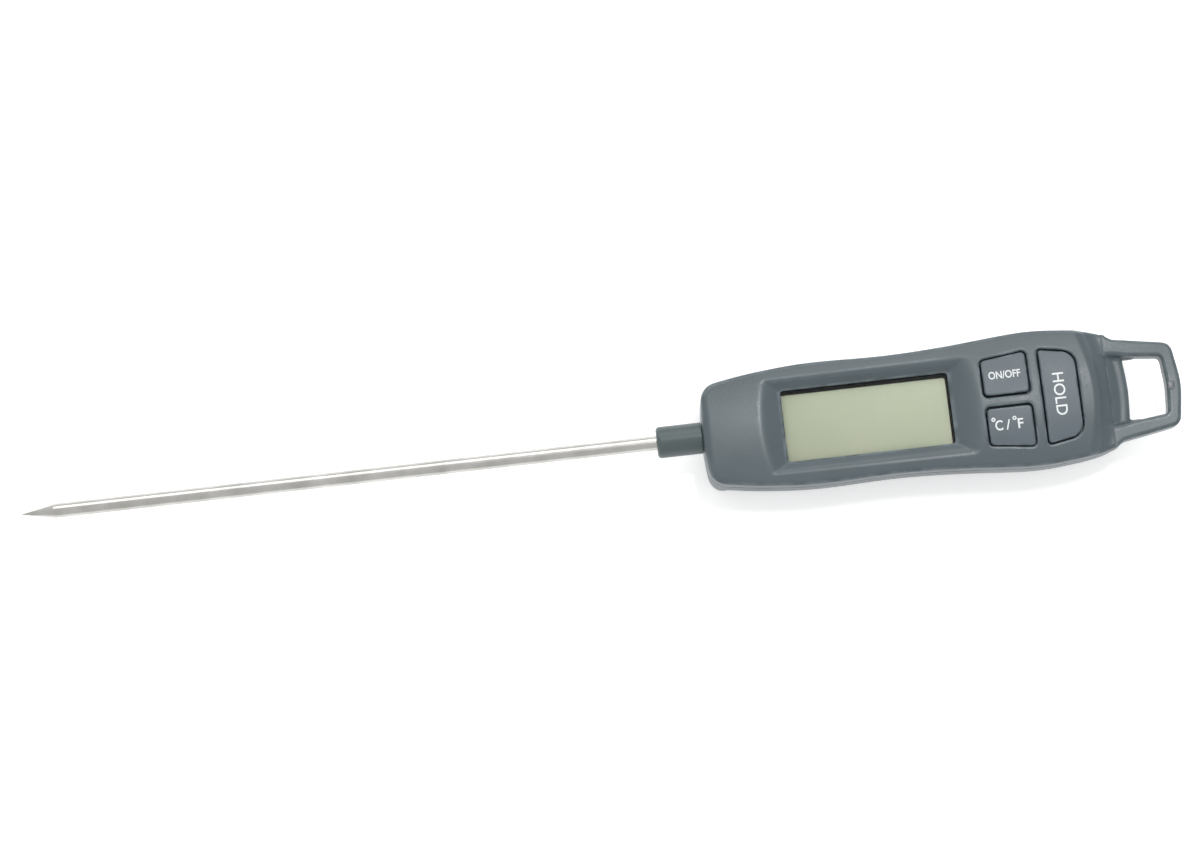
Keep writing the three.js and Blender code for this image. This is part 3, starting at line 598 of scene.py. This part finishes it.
def gate_mark(grid):
    """The small stub in the middle of the loop's far bar."""
    x, y = GATE["x"], GATE["y"]
    half_x, half_y = GATE["half"]
    height = (LOOP_Z[1] - 1, LOOP_Z[1] + GATE["height"])
    return block(grid, (x - half_x, x + half_x), (y - half_y, y + half_y), height, 0.2)


def bay_bore(grid):
    """What the battery cover, its skirt and the cell need."""
    recess = drum(grid, BAY_X, 0, BORE["recess"], (-1, BORE["shoulder"]))
    bore = drum(grid, BAY_X, 0, BORE["r"], (-1, BORE["top"]))
    cell = drum(grid, BAY_X, 0, CELL_RING["bore"], (-1, CELL_RING["z"][1] + 1))
    slot = block(grid, (BAY_X - CELL_RING["r"] - 0.2, BAY_X), (-1.8, 1.8), (BORE["top"] - 0.1, 9))
    return np.minimum(np.minimum(recess, bore), np.minimum(cell, slot))


def rear_shell():
    lo, hi = span("rear_shell")
    top = span("front_shell")[0][2] - 0.1
    grid = Grid(lo, hi, REAR_CELL)
    side = body_side(grid)
    inset, stretch = rounded_end(grid.z - lo[2], BACK_EDGE)
    outside = both(np.maximum((side + inset) / stretch, belly(grid)), lo[2] - grid.z, 0.4)
    outside = without(outside, back_slope(grid), 0.8)
    outside = both(outside, grid.z - top, PARTING_FILLET)

    cavity = np.maximum(side + WALL, FLOOR - grid.z)
    cavity = np.maximum(cavity, belly(grid, WALL, 0.8 * FLOOR))
    cavity = np.maximum(cavity, grid.x - span("front_shell")[1][0] + WALL)
    cavity = without(cavity, back_slope(grid, -WALL, WALL))
    shell = without(outside, cavity, 0.1)
    for x, y in SCREWS:
        shell = np.minimum(shell, drum(grid, x, y, PILLAR["foot"], (FLOOR - 0.5, PILLAR["foot_top"])))
        shell = np.minimum(shell, drum(grid, x, y, PILLAR["r"], (FLOOR - 0.5, top)))
    rib = np.maximum(slab(grid.x, *RIB), np.maximum(outside + WALL / 2, slab(grid.z, FLOOR - 0.5, top)))
    turret = drum(grid, BAY_X, 0, BORE["outer"], (0.5, CELL_RING["z"][0]))
    ring = drum(grid, BAY_X, 0, CELL_RING["r"], (CELL_RING["z"][0] - 0.5, CELL_RING["z"][1]))
    shell = np.minimum(shell, np.minimum(rib, np.minimum(turret, ring)))
    shell = either(shell, loop_distance(grid), 0.4)
    shell = np.minimum(shell, gate_mark(grid))

    shell = without(shell, bay_bore(grid), 0.3)
    for x, y in SCREWS:
        shell = without(shell, drum(grid, x, y, HEAD["r"], (-1, HEAD["top"])), 0.25)
        shell = without(shell, drum(grid, x, y, PILOT_R + 0.1, (1, top + 1)))
    shell = without(shell, collar_seat(grid), 0.15)
    piece = moulded("rear_shell_moulding", shell, grid, gate_scuff)
    finish_piece(piece, housing_look, "housing", "housing_plastic", "rear_shell")


def gate_scuff(points):
    """Full on the gate's cut face, none elsewhere."""
    away = np.abs(points[:, :2] - (GATE["x"], GATE["y"])) - GATE["half"]
    return np.clip(0.5 - away.max(1) / 0.3, 0, 1) * (points[:, 2] > LOOP_Z[1] - 0.1)


# ---------------------------------------------------------------- keys


def key_cap(name):
    node = f"key_{name}"
    lo, hi = span(node)
    grid = Grid(lo, hi, KEY_CELL)
    cap_side = outline_distance(smooth(sections(node, KEY_WALL_Z)[0], 0.25), grid.x, grid.y)
    flange_side = outline_distance(smooth(sections(node, sum(FLANGE_Z) / 2)[0], 0.25), grid.x, grid.y)
    foot_side = outline_distance(sections(node, (lo[2] + FLANGE_Z[0]) / 2)[0], grid.x, grid.y)
    cap = both(cap_side, above_crown(grid, 0.05), KEY_FILLET)
    cap = np.maximum(cap, FLANGE_Z[0] - grid.z)
    flange = both(flange_side, slab(grid.z, *FLANGE_Z), 0.15)
    foot = np.maximum(foot_side, slab(grid.z, lo[2], FLANGE_Z[0] + 0.3))
    piece = moulded(f"{node}_cap", either(np.minimum(cap, foot), flange, 0.1), grid)
    finish_piece(piece, key_look, node, "key_plastic", node)


# ---------------------------------------------------------------- battery cover and screws


def battery_cover():
    lo, hi = span("battery_cover")
    grid = Grid(lo, hi, COVER_CELL)
    around = np.hypot(grid.x - BAY_X, grid.y)
    flange_r = np.max(hi[:2] - middle("battery_cover")[:2])
    flange = both(around - flange_r, slab(grid.z, lo[2], COVER["flange_top"]), 0.35)
    skirt = both(around - COVER["skirt"], slab(grid.z, lo[2] + 0.3, hi[2]), 0.2)
    cup = without(np.minimum(flange, skirt), np.maximum(around - COVER["bore"], COVER["floor"] - grid.z), 0.2)
    half = COIN_SLOT["length"] / 2
    width = COIN_SLOT["width"] / 2
    groove = np.hypot(np.maximum(np.abs(grid.x - BAY_X) - half + width, 0), grid.y) - width
    groove = np.maximum(groove, grid.z - lo[2] - COIN_SLOT["depth"])
    piece = moulded("battery_cover_moulding", without(cup, groove, 0.25), grid)
    finish_piece(piece, housing_look, "battery_cover", "housing_plastic", "battery_cover")


def screw_mesh():
    """One screw, upside down in its pillar, centred on its own axis."""
    lo, hi = span("case_screw_1")
    grid = Grid((-SCREW["head"], -SCREW["head"], lo[2]), (SCREW["head"], SCREW["head"], hi[2]), SCREW_CELL)
    around = np.hypot(grid.x, grid.y)
    turn = np.arctan2(grid.y, grid.x) / (2 * math.pi)
    along = (grid.z / SCREW["pitch"] - turn) % 1
    ridge = SCREW["core"] + (SCREW["thread"] - SCREW["core"]) * (1 - np.abs(2 * along - 1)) ** 2
    point = (hi[2] - grid.z) * 0.8
    shank = np.maximum(around - np.minimum(ridge, point), SCREW["seat"] - 0.5 - grid.z) * 0.8
    cone = (around - SCREW["head"] + np.maximum(grid.z - lo[2] - 0.8, 0) * 1.2) * 0.8
    head = both(cone, slab(grid.z, lo[2], SCREW["seat"]), 0.25)
    arm, half = RECESS["arm"], RECESS["half"]
    depth = (lo[2] - 1, lo[2] + RECESS["depth"])
    cross = np.minimum(
        block(grid, (-arm, arm), (-half, half), depth), block(grid, (-half, half), (-arm, arm), depth)
    )
    return without(np.minimum(shank, head), cross, 0.08), grid


def screws():
    points, faces, normals = surface(*screw_mesh())
    for i, (x, y) in enumerate(SCREWS, 1):
        piece = new_object(f"case_screw_{i}_steel", points + (x, y, 0), faces, normals)
        finish_piece(piece, screw_look, "housing", "screw_steel", f"case_screw_{i}")


# ---------------------------------------------------------------- probe


def turned(name, profile, sides=96):
    """A closed outline of [x, radius] points turned round the probe's axis."""
    profile = np.array(profile, float)
    angles = np.arange(sides) * 2 * math.pi / sides
    rings = []
    for x, r in profile:
        rings.append(np.stack([np.full(sides, x), r * np.cos(angles), AXIS_Z + r * np.sin(angles)], 1))
    points = np.concatenate(rings)
    faces = []
    for i in range(len(profile) - 1):
        for j in range(sides):
            k = (j + 1) % sides
            faces.append((i * sides + j, (i + 1) * sides + j, (i + 1) * sides + k, i * sides + k))
    return new_object(name, points, faces)


def arc(x, r, radius, start, end, steps=6):
    """Points of a fillet round a centre, by angle from +X towards the outside."""
    angles = np.radians(np.linspace(start, end, steps))
    return [(x + radius * math.cos(a), r + radius * math.sin(a)) for a in angles]


def weld(piece, distance=1e-6):
    """Joins the points that share a place, such as those of a ring with no radius."""
    work = bmesh.new()
    work.from_mesh(piece.data)
    bmesh.ops.remove_doubles(work, verts=work.verts, dist=distance)
    bmesh.ops.dissolve_degenerate(work, edges=work.edges, dist=distance)
    bmesh.ops.recalc_face_normals(work, faces=work.faces)
    work.to_mesh(piece.data)
    work.free()
    piece.data.shade_smooth()


def probe():
    lo, hi = span("probe_tube")
    r = (hi[2] - lo[2]) / 2
    cone_end = lo[0] + PROBE["cone"]
    tip, bore, blend, mouth = (PROBE[name] for name in ("tip", "bore", "blend", "mouth"))
    lean = math.degrees(math.atan2(r, PROBE["cone"]))
    profile = [(lo[0], 0)]
    profile += arc(lo[0] + tip, 0, tip, 180, 90 + lean)[1:]
    profile += arc(cone_end + 0.3, r - blend, blend, 90 + lean, 90, 5)
    profile += [(x, r) for x in np.linspace(cone_end + 0.6, hi[0] - mouth - 0.05, 60)]
    profile += arc(hi[0] - mouth, r - mouth, mouth, 90, 0, 4)
    profile += [(hi[0], bore), (cone_end + 0.5, bore), (cone_end - 2, 0)]
    piece = turned("probe_tube_steel", profile)
    weld(piece)
    finish_piece(piece, probe_look, "housing", "stainless_steel", "probe_tube")


def collar():
    lo, hi = span("probe_collar")
    r = (hi[2] - lo[2]) / 2
    neck, flange, bore, shoulder, front = (COLLAR[n] for n in ("neck", "flange", "bore", "shoulder", "front"))
    nose, mouth, edge = (COLLAR[name] for name in ("nose", "mouth", "edge"))
    profile = arc(lo[0] + nose, r - nose, nose, 180, 90)
    profile += [(x, r) for x in np.linspace(lo[0] + nose + 0.25, shoulder - edge - 0.25, 24)]
    profile += arc(shoulder - edge, r - edge, edge, 90, 0, 4)
    profile += [(shoulder, neck), (front, neck), (front, flange), (hi[0], flange), (hi[0], bore)]
    profile += [(lo[0] + mouth, bore)] + arc(lo[0] + mouth, bore + mouth, mouth, -90, -180, 4)[1:]
    profile += [profile[0]]
    piece = turned("probe_collar_moulding", profile)
    weld(piece)
    sharpen(piece)
    finish_piece(piece, collar_look, "housing", "housing_plastic", "probe_collar")


def sharpen(piece, angle=40):
    """Keeps the edges that turn more than an angle crisp."""
    piece.data.set_sharp_from_angle(angle=math.radians(angle))


# ---------------------------------------------------------------- legends


def text_mesh(words, height, weight, width=1.0):
    """Capitals as a flat mesh, centred, in millimetres, with a little thickness."""
    curve = bpy.data.curves.new("words", "FONT")
    curve.body = words
    curve.align_x = "CENTER"
    curve.size = height / 0.729
    curve.extrude = 0.03
    curve.offset = weight
    curve.resolution_u = 6
    holder = bpy.data.objects.new("words", curve)
    bpy.context.scene.collection.objects.link(holder)
    bpy.context.view_layer.update()
    mesh = bpy.data.meshes.new_from_object(holder.evaluated_get(bpy.context.evaluated_depsgraph_get()))
    points = np.array([v.co for v in mesh.vertices])
    faces = [tuple(p.vertices) for p in mesh.polygons]
    bpy.data.objects.remove(holder)
    bpy.data.curves.remove(curve)
    bpy.data.meshes.remove(mesh)
    centre = (points.min(0) + points.max(0)) / 2
    return (points - centre) * (width, 1, 1), faces


def ring_mesh(x, y, inner, outer, sides=24):
    """A small flat ring with a little thickness."""
    angles = np.arange(sides) * 2 * math.pi / sides
    points = []
    for z in (-0.03, 0.03):
        for r in (inner, outer):
            points.append(np.stack([x + r * np.cos(angles), y + r * np.sin(angles), np.full(sides, z)], 1))
    faces = []
    for j in range(sides):
        k = (j + 1) % sides
        low_in, low_out, high_in, high_out = (i * sides for i in range(4))
        faces.append((high_in + j, high_out + j, high_out + k, high_in + k))
        faces.append((low_in + k, low_out + k, low_out + j, low_in + j))
        faces.append((low_out + j, low_out + k, high_out + k, high_out + j))
        faces.append((high_in + j, high_in + k, low_in + k, low_in + j))
    return np.concatenate(points), faces


def joined(parts):
    """Several point and face lists as one."""
    points, faces, count = [], [], 0
    for some_points, some_faces in parts:
        points.append(some_points)
        faces += [tuple(i + count for i in face) for face in some_faces]
        count += len(some_points)
    return np.concatenate(points), faces


def print_on_key(name, key, flat, centre, turned_down=False):
    """Lays a flat legend on a key's crowned top, just proud of it."""
    points, faces = flat
    x, y, z = points.T
    if turned_down:
        x, y = y, -x
    x = x + centre[0]
    y = y + centre[1]
    lifted = np.stack([x, y, crown(y) - 0.05 + z], 1)
    piece = new_object(name, lifted, faces)
    for polygon in piece.data.polygons:
        polygon.use_smooth = False
    finish_piece(piece, ink_look, key, "legend_ink")


def words(text, legend):
    """One line of a legend."""
    return text_mesh(text, legend["height"], legend["weight"], legend.get("width", 1))


def units_words():
    """The two unit letters, the stroke between them and their degree rings."""
    parts = []
    for letter, (place, width) in UNITS_LETTERS.items():
        points, faces = text_mesh(letter, UNITS_LEGEND["height"], UNITS_LEGEND["weight"], width)
        parts.append((points + (place, 0, 0), faces))
    for x, y in DEGREE_RINGS["places"]:
        parts.append(ring_mesh(x, y, DEGREE_RINGS["inner"], DEGREE_RINGS["outer"]))
    return joined(parts)


def legends():
    power, units, hold = (middle(f"key_{name}")[:2] for name in KEY_NAMES)
    print_on_key("legend_power", "key_power", words("ON/OFF", POWER_LEGEND), power + POWER_LEGEND["shift"])
    print_on_key("legend_units", "key_units", units_words(), units + UNITS_LEGEND["shift"])
    print_on_key("legend_hold", "key_hold", words("HOLD", HOLD_LEGEND), hold + HOLD_LEGEND["shift"], True)


# ---------------------------------------------------------------- materials


class Look:
    """A node material under construction. Places are taken from the piece itself, in metres."""

    def __init__(self, name, metallic=0.0, specular=0.5):
        self.material = bpy.data.materials.new(name)
        self.material.use_nodes = True
        self.tree = self.material.node_tree
        self.shader = self.tree.nodes["Principled BSDF"]
        self.shader.inputs["Metallic"].default_value = metallic
        self.shader.inputs["Specular IOR Level"].default_value = specular
        self.place = self.node("ShaderNodeTexCoord").outputs["Object"]

    def node(self, kind):
        return self.tree.nodes.new(kind)

    def link(self, source, target):
        self.tree.links.new(source, target)

    def noise(self, size, detail=3, stretch=(1, 1, 1)):
        """Noise with blotches about this many millimetres across, times the stretch along each axis."""
        mapping = self.node("ShaderNodeMapping")
        mapping.inputs["Scale"].default_value = [1 / (s * size * MM) for s in stretch]
        noise = self.node("ShaderNodeTexNoise")
        noise.inputs["Scale"].default_value = 1
        noise.inputs["Detail"].default_value = detail
        self.link(self.place, mapping.inputs["Vector"])
        self.link(mapping.outputs["Vector"], noise.inputs["Vector"])
        return noise.outputs["Fac"]

    def stored(self, name):
        attribute = self.node("ShaderNodeAttribute")
        attribute.attribute_name = name
        return attribute.outputs["Fac"]

    def ranged(self, value, low, high, to_low=0.0, to_high=1.0):
        """A value stretched from one range to another, and kept in it."""
        node = self.node("ShaderNodeMapRange")
        for socket, number in zip(("From Min", "From Max", "To Min", "To Max"), (low, high, to_low, to_high)):
            node.inputs[socket].default_value = number
        self.link(value, node.inputs["Value"])
        return node.outputs["Result"]

    def times(self, a, b):
        node = self.node("ShaderNodeMath")
        node.operation = "MULTIPLY"
        self.put(a, node.inputs[0])
        self.put(b, node.inputs[1])
        return node.outputs["Value"]

    def plus(self, a, b):
        node = self.node("ShaderNodeMath")
        node.operation = "ADD"
        self.put(a, node.inputs[0])
        self.put(b, node.inputs[1])
        return node.outputs["Value"]

    def put(self, value, socket):
        if isinstance(value, bpy.types.NodeSocket):
            self.link(value, socket)
        else:
            socket.default_value = value

    def mix(self, share, a, b):
        """A colour between two colours."""
        node = self.node("ShaderNodeMix")
        node.data_type = "RGBA"
        self.put(share, node.inputs[0])
        self.put(a, node.inputs[6])
        self.put(b, node.inputs[7])
        return node.outputs[2]

    def colour(self, value):
        self.put(value, self.shader.inputs["Base Color"])

    def roughness(self, value):
        self.put(value, self.shader.inputs["Roughness"])

    def bump(self, height, depth):
        """Bumps this many millimetres high."""
        node = self.node("ShaderNodeBump")
        node.inputs["Strength"].default_value = 1
        node.inputs["Distance"].default_value = depth * MM
        self.link(height, node.inputs["Height"])
        self.link(node.outputs["Normal"], self.shader.inputs["Normal"])


def rgb(red, green, blue):
    """A colour from its 8-bit screen values."""
    def linear(c):
        c /= 255
        return c / 12.92 if c <= 0.04045 else ((c + 0.055) / 1.055) ** 2.4
    return (linear(red), linear(green), linear(blue), 1)


def moulded_plastic(name, dark, light, wear_and_highlight_colour, grain, rough, depth):
    """Satin moulded plastic: a fine grain, cloudy colour, outer edges lightened as rubbed wear and painted
    highlight, and painted shade in the inner corners.
    """
    look = Look(name)
    cloud = look.ranged(look.noise(9, 4), 0.3, 0.7)
    base = look.mix(cloud, dark, light)
    speck = look.ranged(look.noise(0.35, 2), 0.35, 0.65, 0, 0.25)
    base = look.mix(speck, base, light)
    # Outer edges lightened in patches: partly rubbed wear, partly painted highlight along the edges.
    wear_and_highlight_patches = look.ranged(look.noise(3, 5), 0.4, 0.62)
    edge = look.ranged(look.stored("bend"), 0.8, 2.2, 0, 0.6)
    base = look.mix(look.times(edge, wear_and_highlight_patches), base, wear_and_highlight_colour)
    # Painted shade: inner corners are darkened towards a deep grey, where shade falls.
    painted_corner_shade = look.ranged(look.stored("bend"), -1.0, -2.6, 0, 0.45)
    base = look.mix(painted_corner_shade, base, rgb(58, 64, 68))
    base = look.mix(look.stored("scuff"), base, rgb(122, 124, 127))
    look.colour(base)
    smear = look.ranged(look.noise(14, 3, (1.6, 1, 1)), 0.3, 0.7, rough - 0.05, rough + 0.06)
    look.roughness(look.plus(smear, look.ranged(look.noise(grain * 2, 2), 0.3, 0.7, -0.03, 0.03)))
    look.bump(look.noise(grain, 2), depth)
    return look.material


def steel_look(name, stretch, rough, tint=(200, 199, 195)):
    """Ground steel: fine marks along the stretch, faint cloudy staining."""
    look = Look(name, metallic=1)
    marks = look.noise(0.09, 3, stretch)
    dark = rgb(*(c - 24 for c in tint))
    look.colour(look.mix(look.ranged(look.noise(6, 4), 0.35, 0.7), rgb(*tint), dark))
    look.roughness(look.ranged(marks, 0.3, 0.7, rough - 0.05, rough + 0.07))
    look.bump(marks, 0.004)
    return look.material


def plain_look(name, dark, light, size, rough, depth, metallic=0.0, detail=3, specular=0.5):
    """A material with cloudy colour and a fine surface at one scale."""
    look = Look(name, metallic, specular)
    look.colour(look.mix(look.ranged(look.noise(size * 6, detail), 0.3, 0.7), dark, light))
    look.roughness(look.ranged(look.noise(size * 3, 3), 0.3, 0.7, rough - 0.06, rough + 0.06))
    look.bump(look.noise(size, 2), depth)
    return look.material


def lens_look():
    """A clear moulded cover that lets lamps through."""
    look = Look("clear_cover")
    shader = look.shader
    shader.inputs["Transmission Weight"].default_value = 1
    shader.inputs["IOR"].default_value = 1.2
    look.colour(look.mix(look.ranged(look.noise(20, 2), 0.4, 0.6), rgb(250, 252, 251), rgb(246, 250, 248)))
    look.roughness(look.ranged(look.noise(4, 5), 0.45, 0.75, 0.03, 0.07))
    clear = look.node("ShaderNodeBsdfTransparent")
    path = look.node("ShaderNodeLightPath")
    surface = shader.outputs["BSDF"]
    for ray in ("Is Shadow Ray", "Is Diffuse Ray"):
        mixed = look.node("ShaderNodeMixShader")
        look.link(path.outputs[ray], mixed.inputs["Fac"])
        look.link(surface, mixed.inputs[1])
        look.link(clear.outputs["BSDF"], mixed.inputs[2])
        surface = mixed.outputs["Shader"]
    look.link(surface, look.tree.nodes["Material Output"].inputs["Surface"])
    return look.material


def display_look():
    """The reflective liquid-crystal face: a grey-green sheet with painted light, paler towards one corner,
    faintly streaked.
    """
    look = Look("display_face", specular=0.3)
    lo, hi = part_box("lcd_front_glass")
    split = look.node("ShaderNodeSeparateXYZ")
    look.link(look.place, split.inputs["Vector"])
    # Painted light: paler towards the loop end and the far side, darker towards the tip and the near side.
    along = look.ranged(split.outputs["X"], lo.x, hi.x)
    across = look.ranged(split.outputs["Y"], lo.y, hi.y)
    painted_light_slope = look.plus(look.times(along, 0.45), look.times(across, 0.55))
    base = look.mix(painted_light_slope, rgb(148, 152, 129), rgb(185, 190, 167))
    streak = look.ranged(look.noise(2.2, 2, (0.5, 12, 1)), 0.35, 0.65, 0, 0.10)
    base = look.mix(streak, base, rgb(144, 148, 128))
    mottle = look.ranged(look.noise(0.12, 1), 0.3, 0.7, 0, 0.12)
    look.colour(look.mix(mottle, base, rgb(198, 202, 180)))
    look.roughness(look.ranged(look.noise(8, 2), 0.3, 0.7, 0.42, 0.5))
    look.bump(look.noise(0.1, 1), 0.002)
    return look.material


def board_look():
    """Green laminate with buried tracks."""
    look = Look("board_green")
    tracks = look.ranged(look.noise(1.6, 0, (8, 1, 1)), 0.5, 0.56)
    base = look.mix(tracks, rgb(24, 84, 48), rgb(38, 112, 62))
    look.colour(look.mix(look.ranged(look.noise(0.4, 2), 0.3, 0.7, 0, 0.4), base, rgb(20, 66, 40)))
    look.roughness(look.ranged(look.noise(3, 2), 0.3, 0.7, 0.3, 0.42))
    look.bump(tracks, 0.03)
    return look.material


def ink_material():
    look = Look("legend_white")
    thin = look.ranged(look.noise(0.5, 4), 0.45, 0.75, 0, 0.35)
    look.colour(look.mix(thin, rgb(226, 230, 230), rgb(186, 192, 195)))
    look.roughness(look.ranged(look.noise(1, 2), 0.3, 0.7, 0.42, 0.55))
    look.bump(look.noise(0.2, 2), 0.006)
    return look.material


def floor_look():
    """A white sheet lit a little from behind, as on a light table."""
    look = Look("pale_floor", specular=0.0)
    look.colour(look.mix(look.noise(60, 0), rgb(250, 250, 250), rgb(252, 252, 252)))
    look.roughness(1.0)
    look.shader.inputs["Emission Color"].default_value = (1, 1, 1, 1)
    look.shader.inputs["Emission Strength"].default_value = FLOOR_GLOW
    return look.material


# The third colour of each plastic goes on its outer edges, as rubbed wear and painted highlight.
housing_look = moulded_plastic(
    "housing_satin", rgb(73, 84, 89), rgb(79, 90, 95), rgb(120, 131, 137), 0.22, 0.32, 0.008
)
key_look = moulded_plastic(
    "key_satin", rgb(77, 88, 95), rgb(83, 94, 101), rgb(126, 136, 143), 0.16, 0.36, 0.006
)
collar_look = moulded_plastic(
    "collar_satin", rgb(71, 83, 84), rgb(77, 89, 91), rgb(112, 122, 124), 0.2, 0.35, 0.008
)
probe_look = steel_look("probe_steel", (40, 1, 1), 0.2)
screw_look = steel_look("screw_zinc", (1, 1, 1), 0.3, (176, 178, 180))
ink_look = ink_material()

CAD_LOOKS = {
    "display_window": lens_look(),
    "lcd_front_glass": display_look(),
    "lcd_rear_glass": plain_look("rear_glass", rgb(150, 158, 140), rgb(170, 176, 158), 0.5, 0.12, 0.001),
    "lcd_reflector": plain_look("reflector_foil", rgb(178, 180, 172), rgb(200, 202, 194), 0.3, 0.3, 0.004, 1),
    "circuit_board": board_look(),
}
black_rubber = plain_look("black_rubber", rgb(12, 12, 13), rgb(22, 23, 24), 0.25, 0.75, 0.01, specular=0.2)
resin = plain_look("black_resin", rgb(14, 14, 16), rgb(26, 26, 29), 0.8, 0.28, 0.03)
brass = plain_look("plated_brass", rgb(196, 172, 116), rgb(212, 192, 140), 0.3, 0.3, 0.004, 1)
ceramic = plain_look("ceramic", rgb(160, 132, 100), rgb(188, 164, 132), 0.15, 0.5, 0.01)
switch_black = plain_look("switch_black", rgb(24, 25, 28), rgb(36, 37, 41), 0.2, 0.45, 0.008)
plunger_grey = plain_look("plunger_grey", rgb(176, 172, 162), rgb(198, 194, 184), 0.2, 0.42, 0.008)
cell_steel = steel_look("cell_steel", (1, 1, 1), 0.24, (204, 204, 202))
for node in ("display_gasket", "zebra_strip_far", "zebra_strip_near", "cover_seal"):
    CAD_LOOKS[node] = black_rubber
for node in ("controller_blob", "chip_resistor", "thermistor"):
    CAD_LOOKS[node] = resin
for node in ("contact_positive", "contact_negative", "probe_ferrule"):
    CAD_LOOKS[node] = brass
CAD_LOOKS["chip_capacitor"] = ceramic
CAD_LOOKS["coin_cell"] = cell_steel
CAD_LOOKS["sensor_lead_1"] = plain_look("red_sleeve", rgb(150, 34, 28), rgb(178, 50, 42), 0.2, 0.4, 0.006)
CAD_LOOKS["sensor_lead_2"] = plain_look("black_sleeve", rgb(20, 20, 22), rgb(34, 34, 37), 0.2, 0.4, 0.006)
for name in KEY_NAMES:
    CAD_LOOKS[f"switch_{name}"] = switch_black
    CAD_LOOKS[f"plunger_{name}"] = plunger_grey


def dress_frame():
    """Gives every CAD node that stays in view its material."""
    for node, look in CAD_LOOKS.items():
        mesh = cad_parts[node].data
        mesh.materials.clear()
        mesh.materials.append(look)


# ---------------------------------------------------------------- stage

CAMERA = {"aim": (0.2, 3.3), "tilt": 9.0, "roll": 6.44, "distance": 670.0, "lens": 97.5}


def camera():
    """Looks down on the display, tilted towards the near side, with the loop end turned a little upwards."""
    tilt = math.radians(CAMERA["tilt"])
    roll = math.radians(CAMERA["roll"])
    away = Vector((0, -math.sin(tilt), math.cos(tilt)))
    across = Vector((1, 0, 0))
    up = away.cross(across)
    right = across * math.cos(roll) - up * math.sin(roll)
    upward = across * math.sin(roll) + up * math.cos(roll)
    aim = Vector((*CAMERA["aim"], AXIS_Z))
    eye = (aim + away * CAMERA["distance"]) * MM
    data = bpy.data.cameras.new("camera")
    data.lens = CAMERA["lens"]
    data.sensor_width = 36
    data.clip_start = 0.01
    data.clip_end = 20
    holder = bpy.data.objects.new("camera", data)
    axes = Matrix((right, upward, away)).transposed().to_4x4()
    holder.matrix_world = Matrix.Translation(eye) @ axes
    bpy.context.scene.collection.objects.link(holder)
    bpy.context.scene.camera = holder


# Each lamp's place, what it faces and its size, in metres, and its power in watts
LAMPS = {
    "top_light": ((0.22, 0.23, 1.0), (0.07, 0, 0), (0.1, 0.1), 2.0),
    "back_light": ((0.0, 1.0, 0.9), (0.03, 0, 0), (1.4, 0.9), 6.5),
}
SKY = 0.8


def softbox(name, place, aim, size, power):
    """A square lamp at a place, in metres, facing another."""
    data = bpy.data.lights.new(name, "AREA")
    data.shape = "RECTANGLE"
    data.size, data.size_y = size
    data.energy = power
    holder = bpy.data.objects.new(name, data)
    facing = (Vector(aim) - Vector(place)).to_track_quat("-Z", "Y")
    holder.matrix_world = Matrix.Translation(place) @ facing.to_matrix().to_4x4()
    bpy.context.scene.collection.objects.link(holder)


def stage():
    size = 3.0
    mesh = bpy.data.meshes.new("floor")
    low = span("rear_shell")[0][2] * MM - 0.0002
    corners = [(-size, -size, low), (size, -size, low), (size, size, low), (-size, size, low)]
    mesh.from_pydata(corners, [], [(0, 1, 2, 3)])
    mesh.materials.append(floor_look())
    floor = bpy.data.objects.new("floor", mesh)
    bpy.context.scene.collection.objects.link(floor)

    for name, lamp in LAMPS.items():
        softbox(name, *lamp)
    world = bpy.data.worlds.new("studio")
    world.use_nodes = True
    sky = world.node_tree.nodes["Background"]
    sky.inputs["Color"].default_value = (1, 1, 1, 1)
    sky.inputs["Strength"].default_value = SKY
    bpy.context.scene.world = world
    bpy.context.scene.view_settings.view_transform = "Standard"


# ---------------------------------------------------------------- assembly

front_shell()
rear_shell()
for name in KEY_NAMES:
    key_cap(name)
battery_cover()
screws()
probe()
collar()
legends()
dress_frame()
camera()
stage()
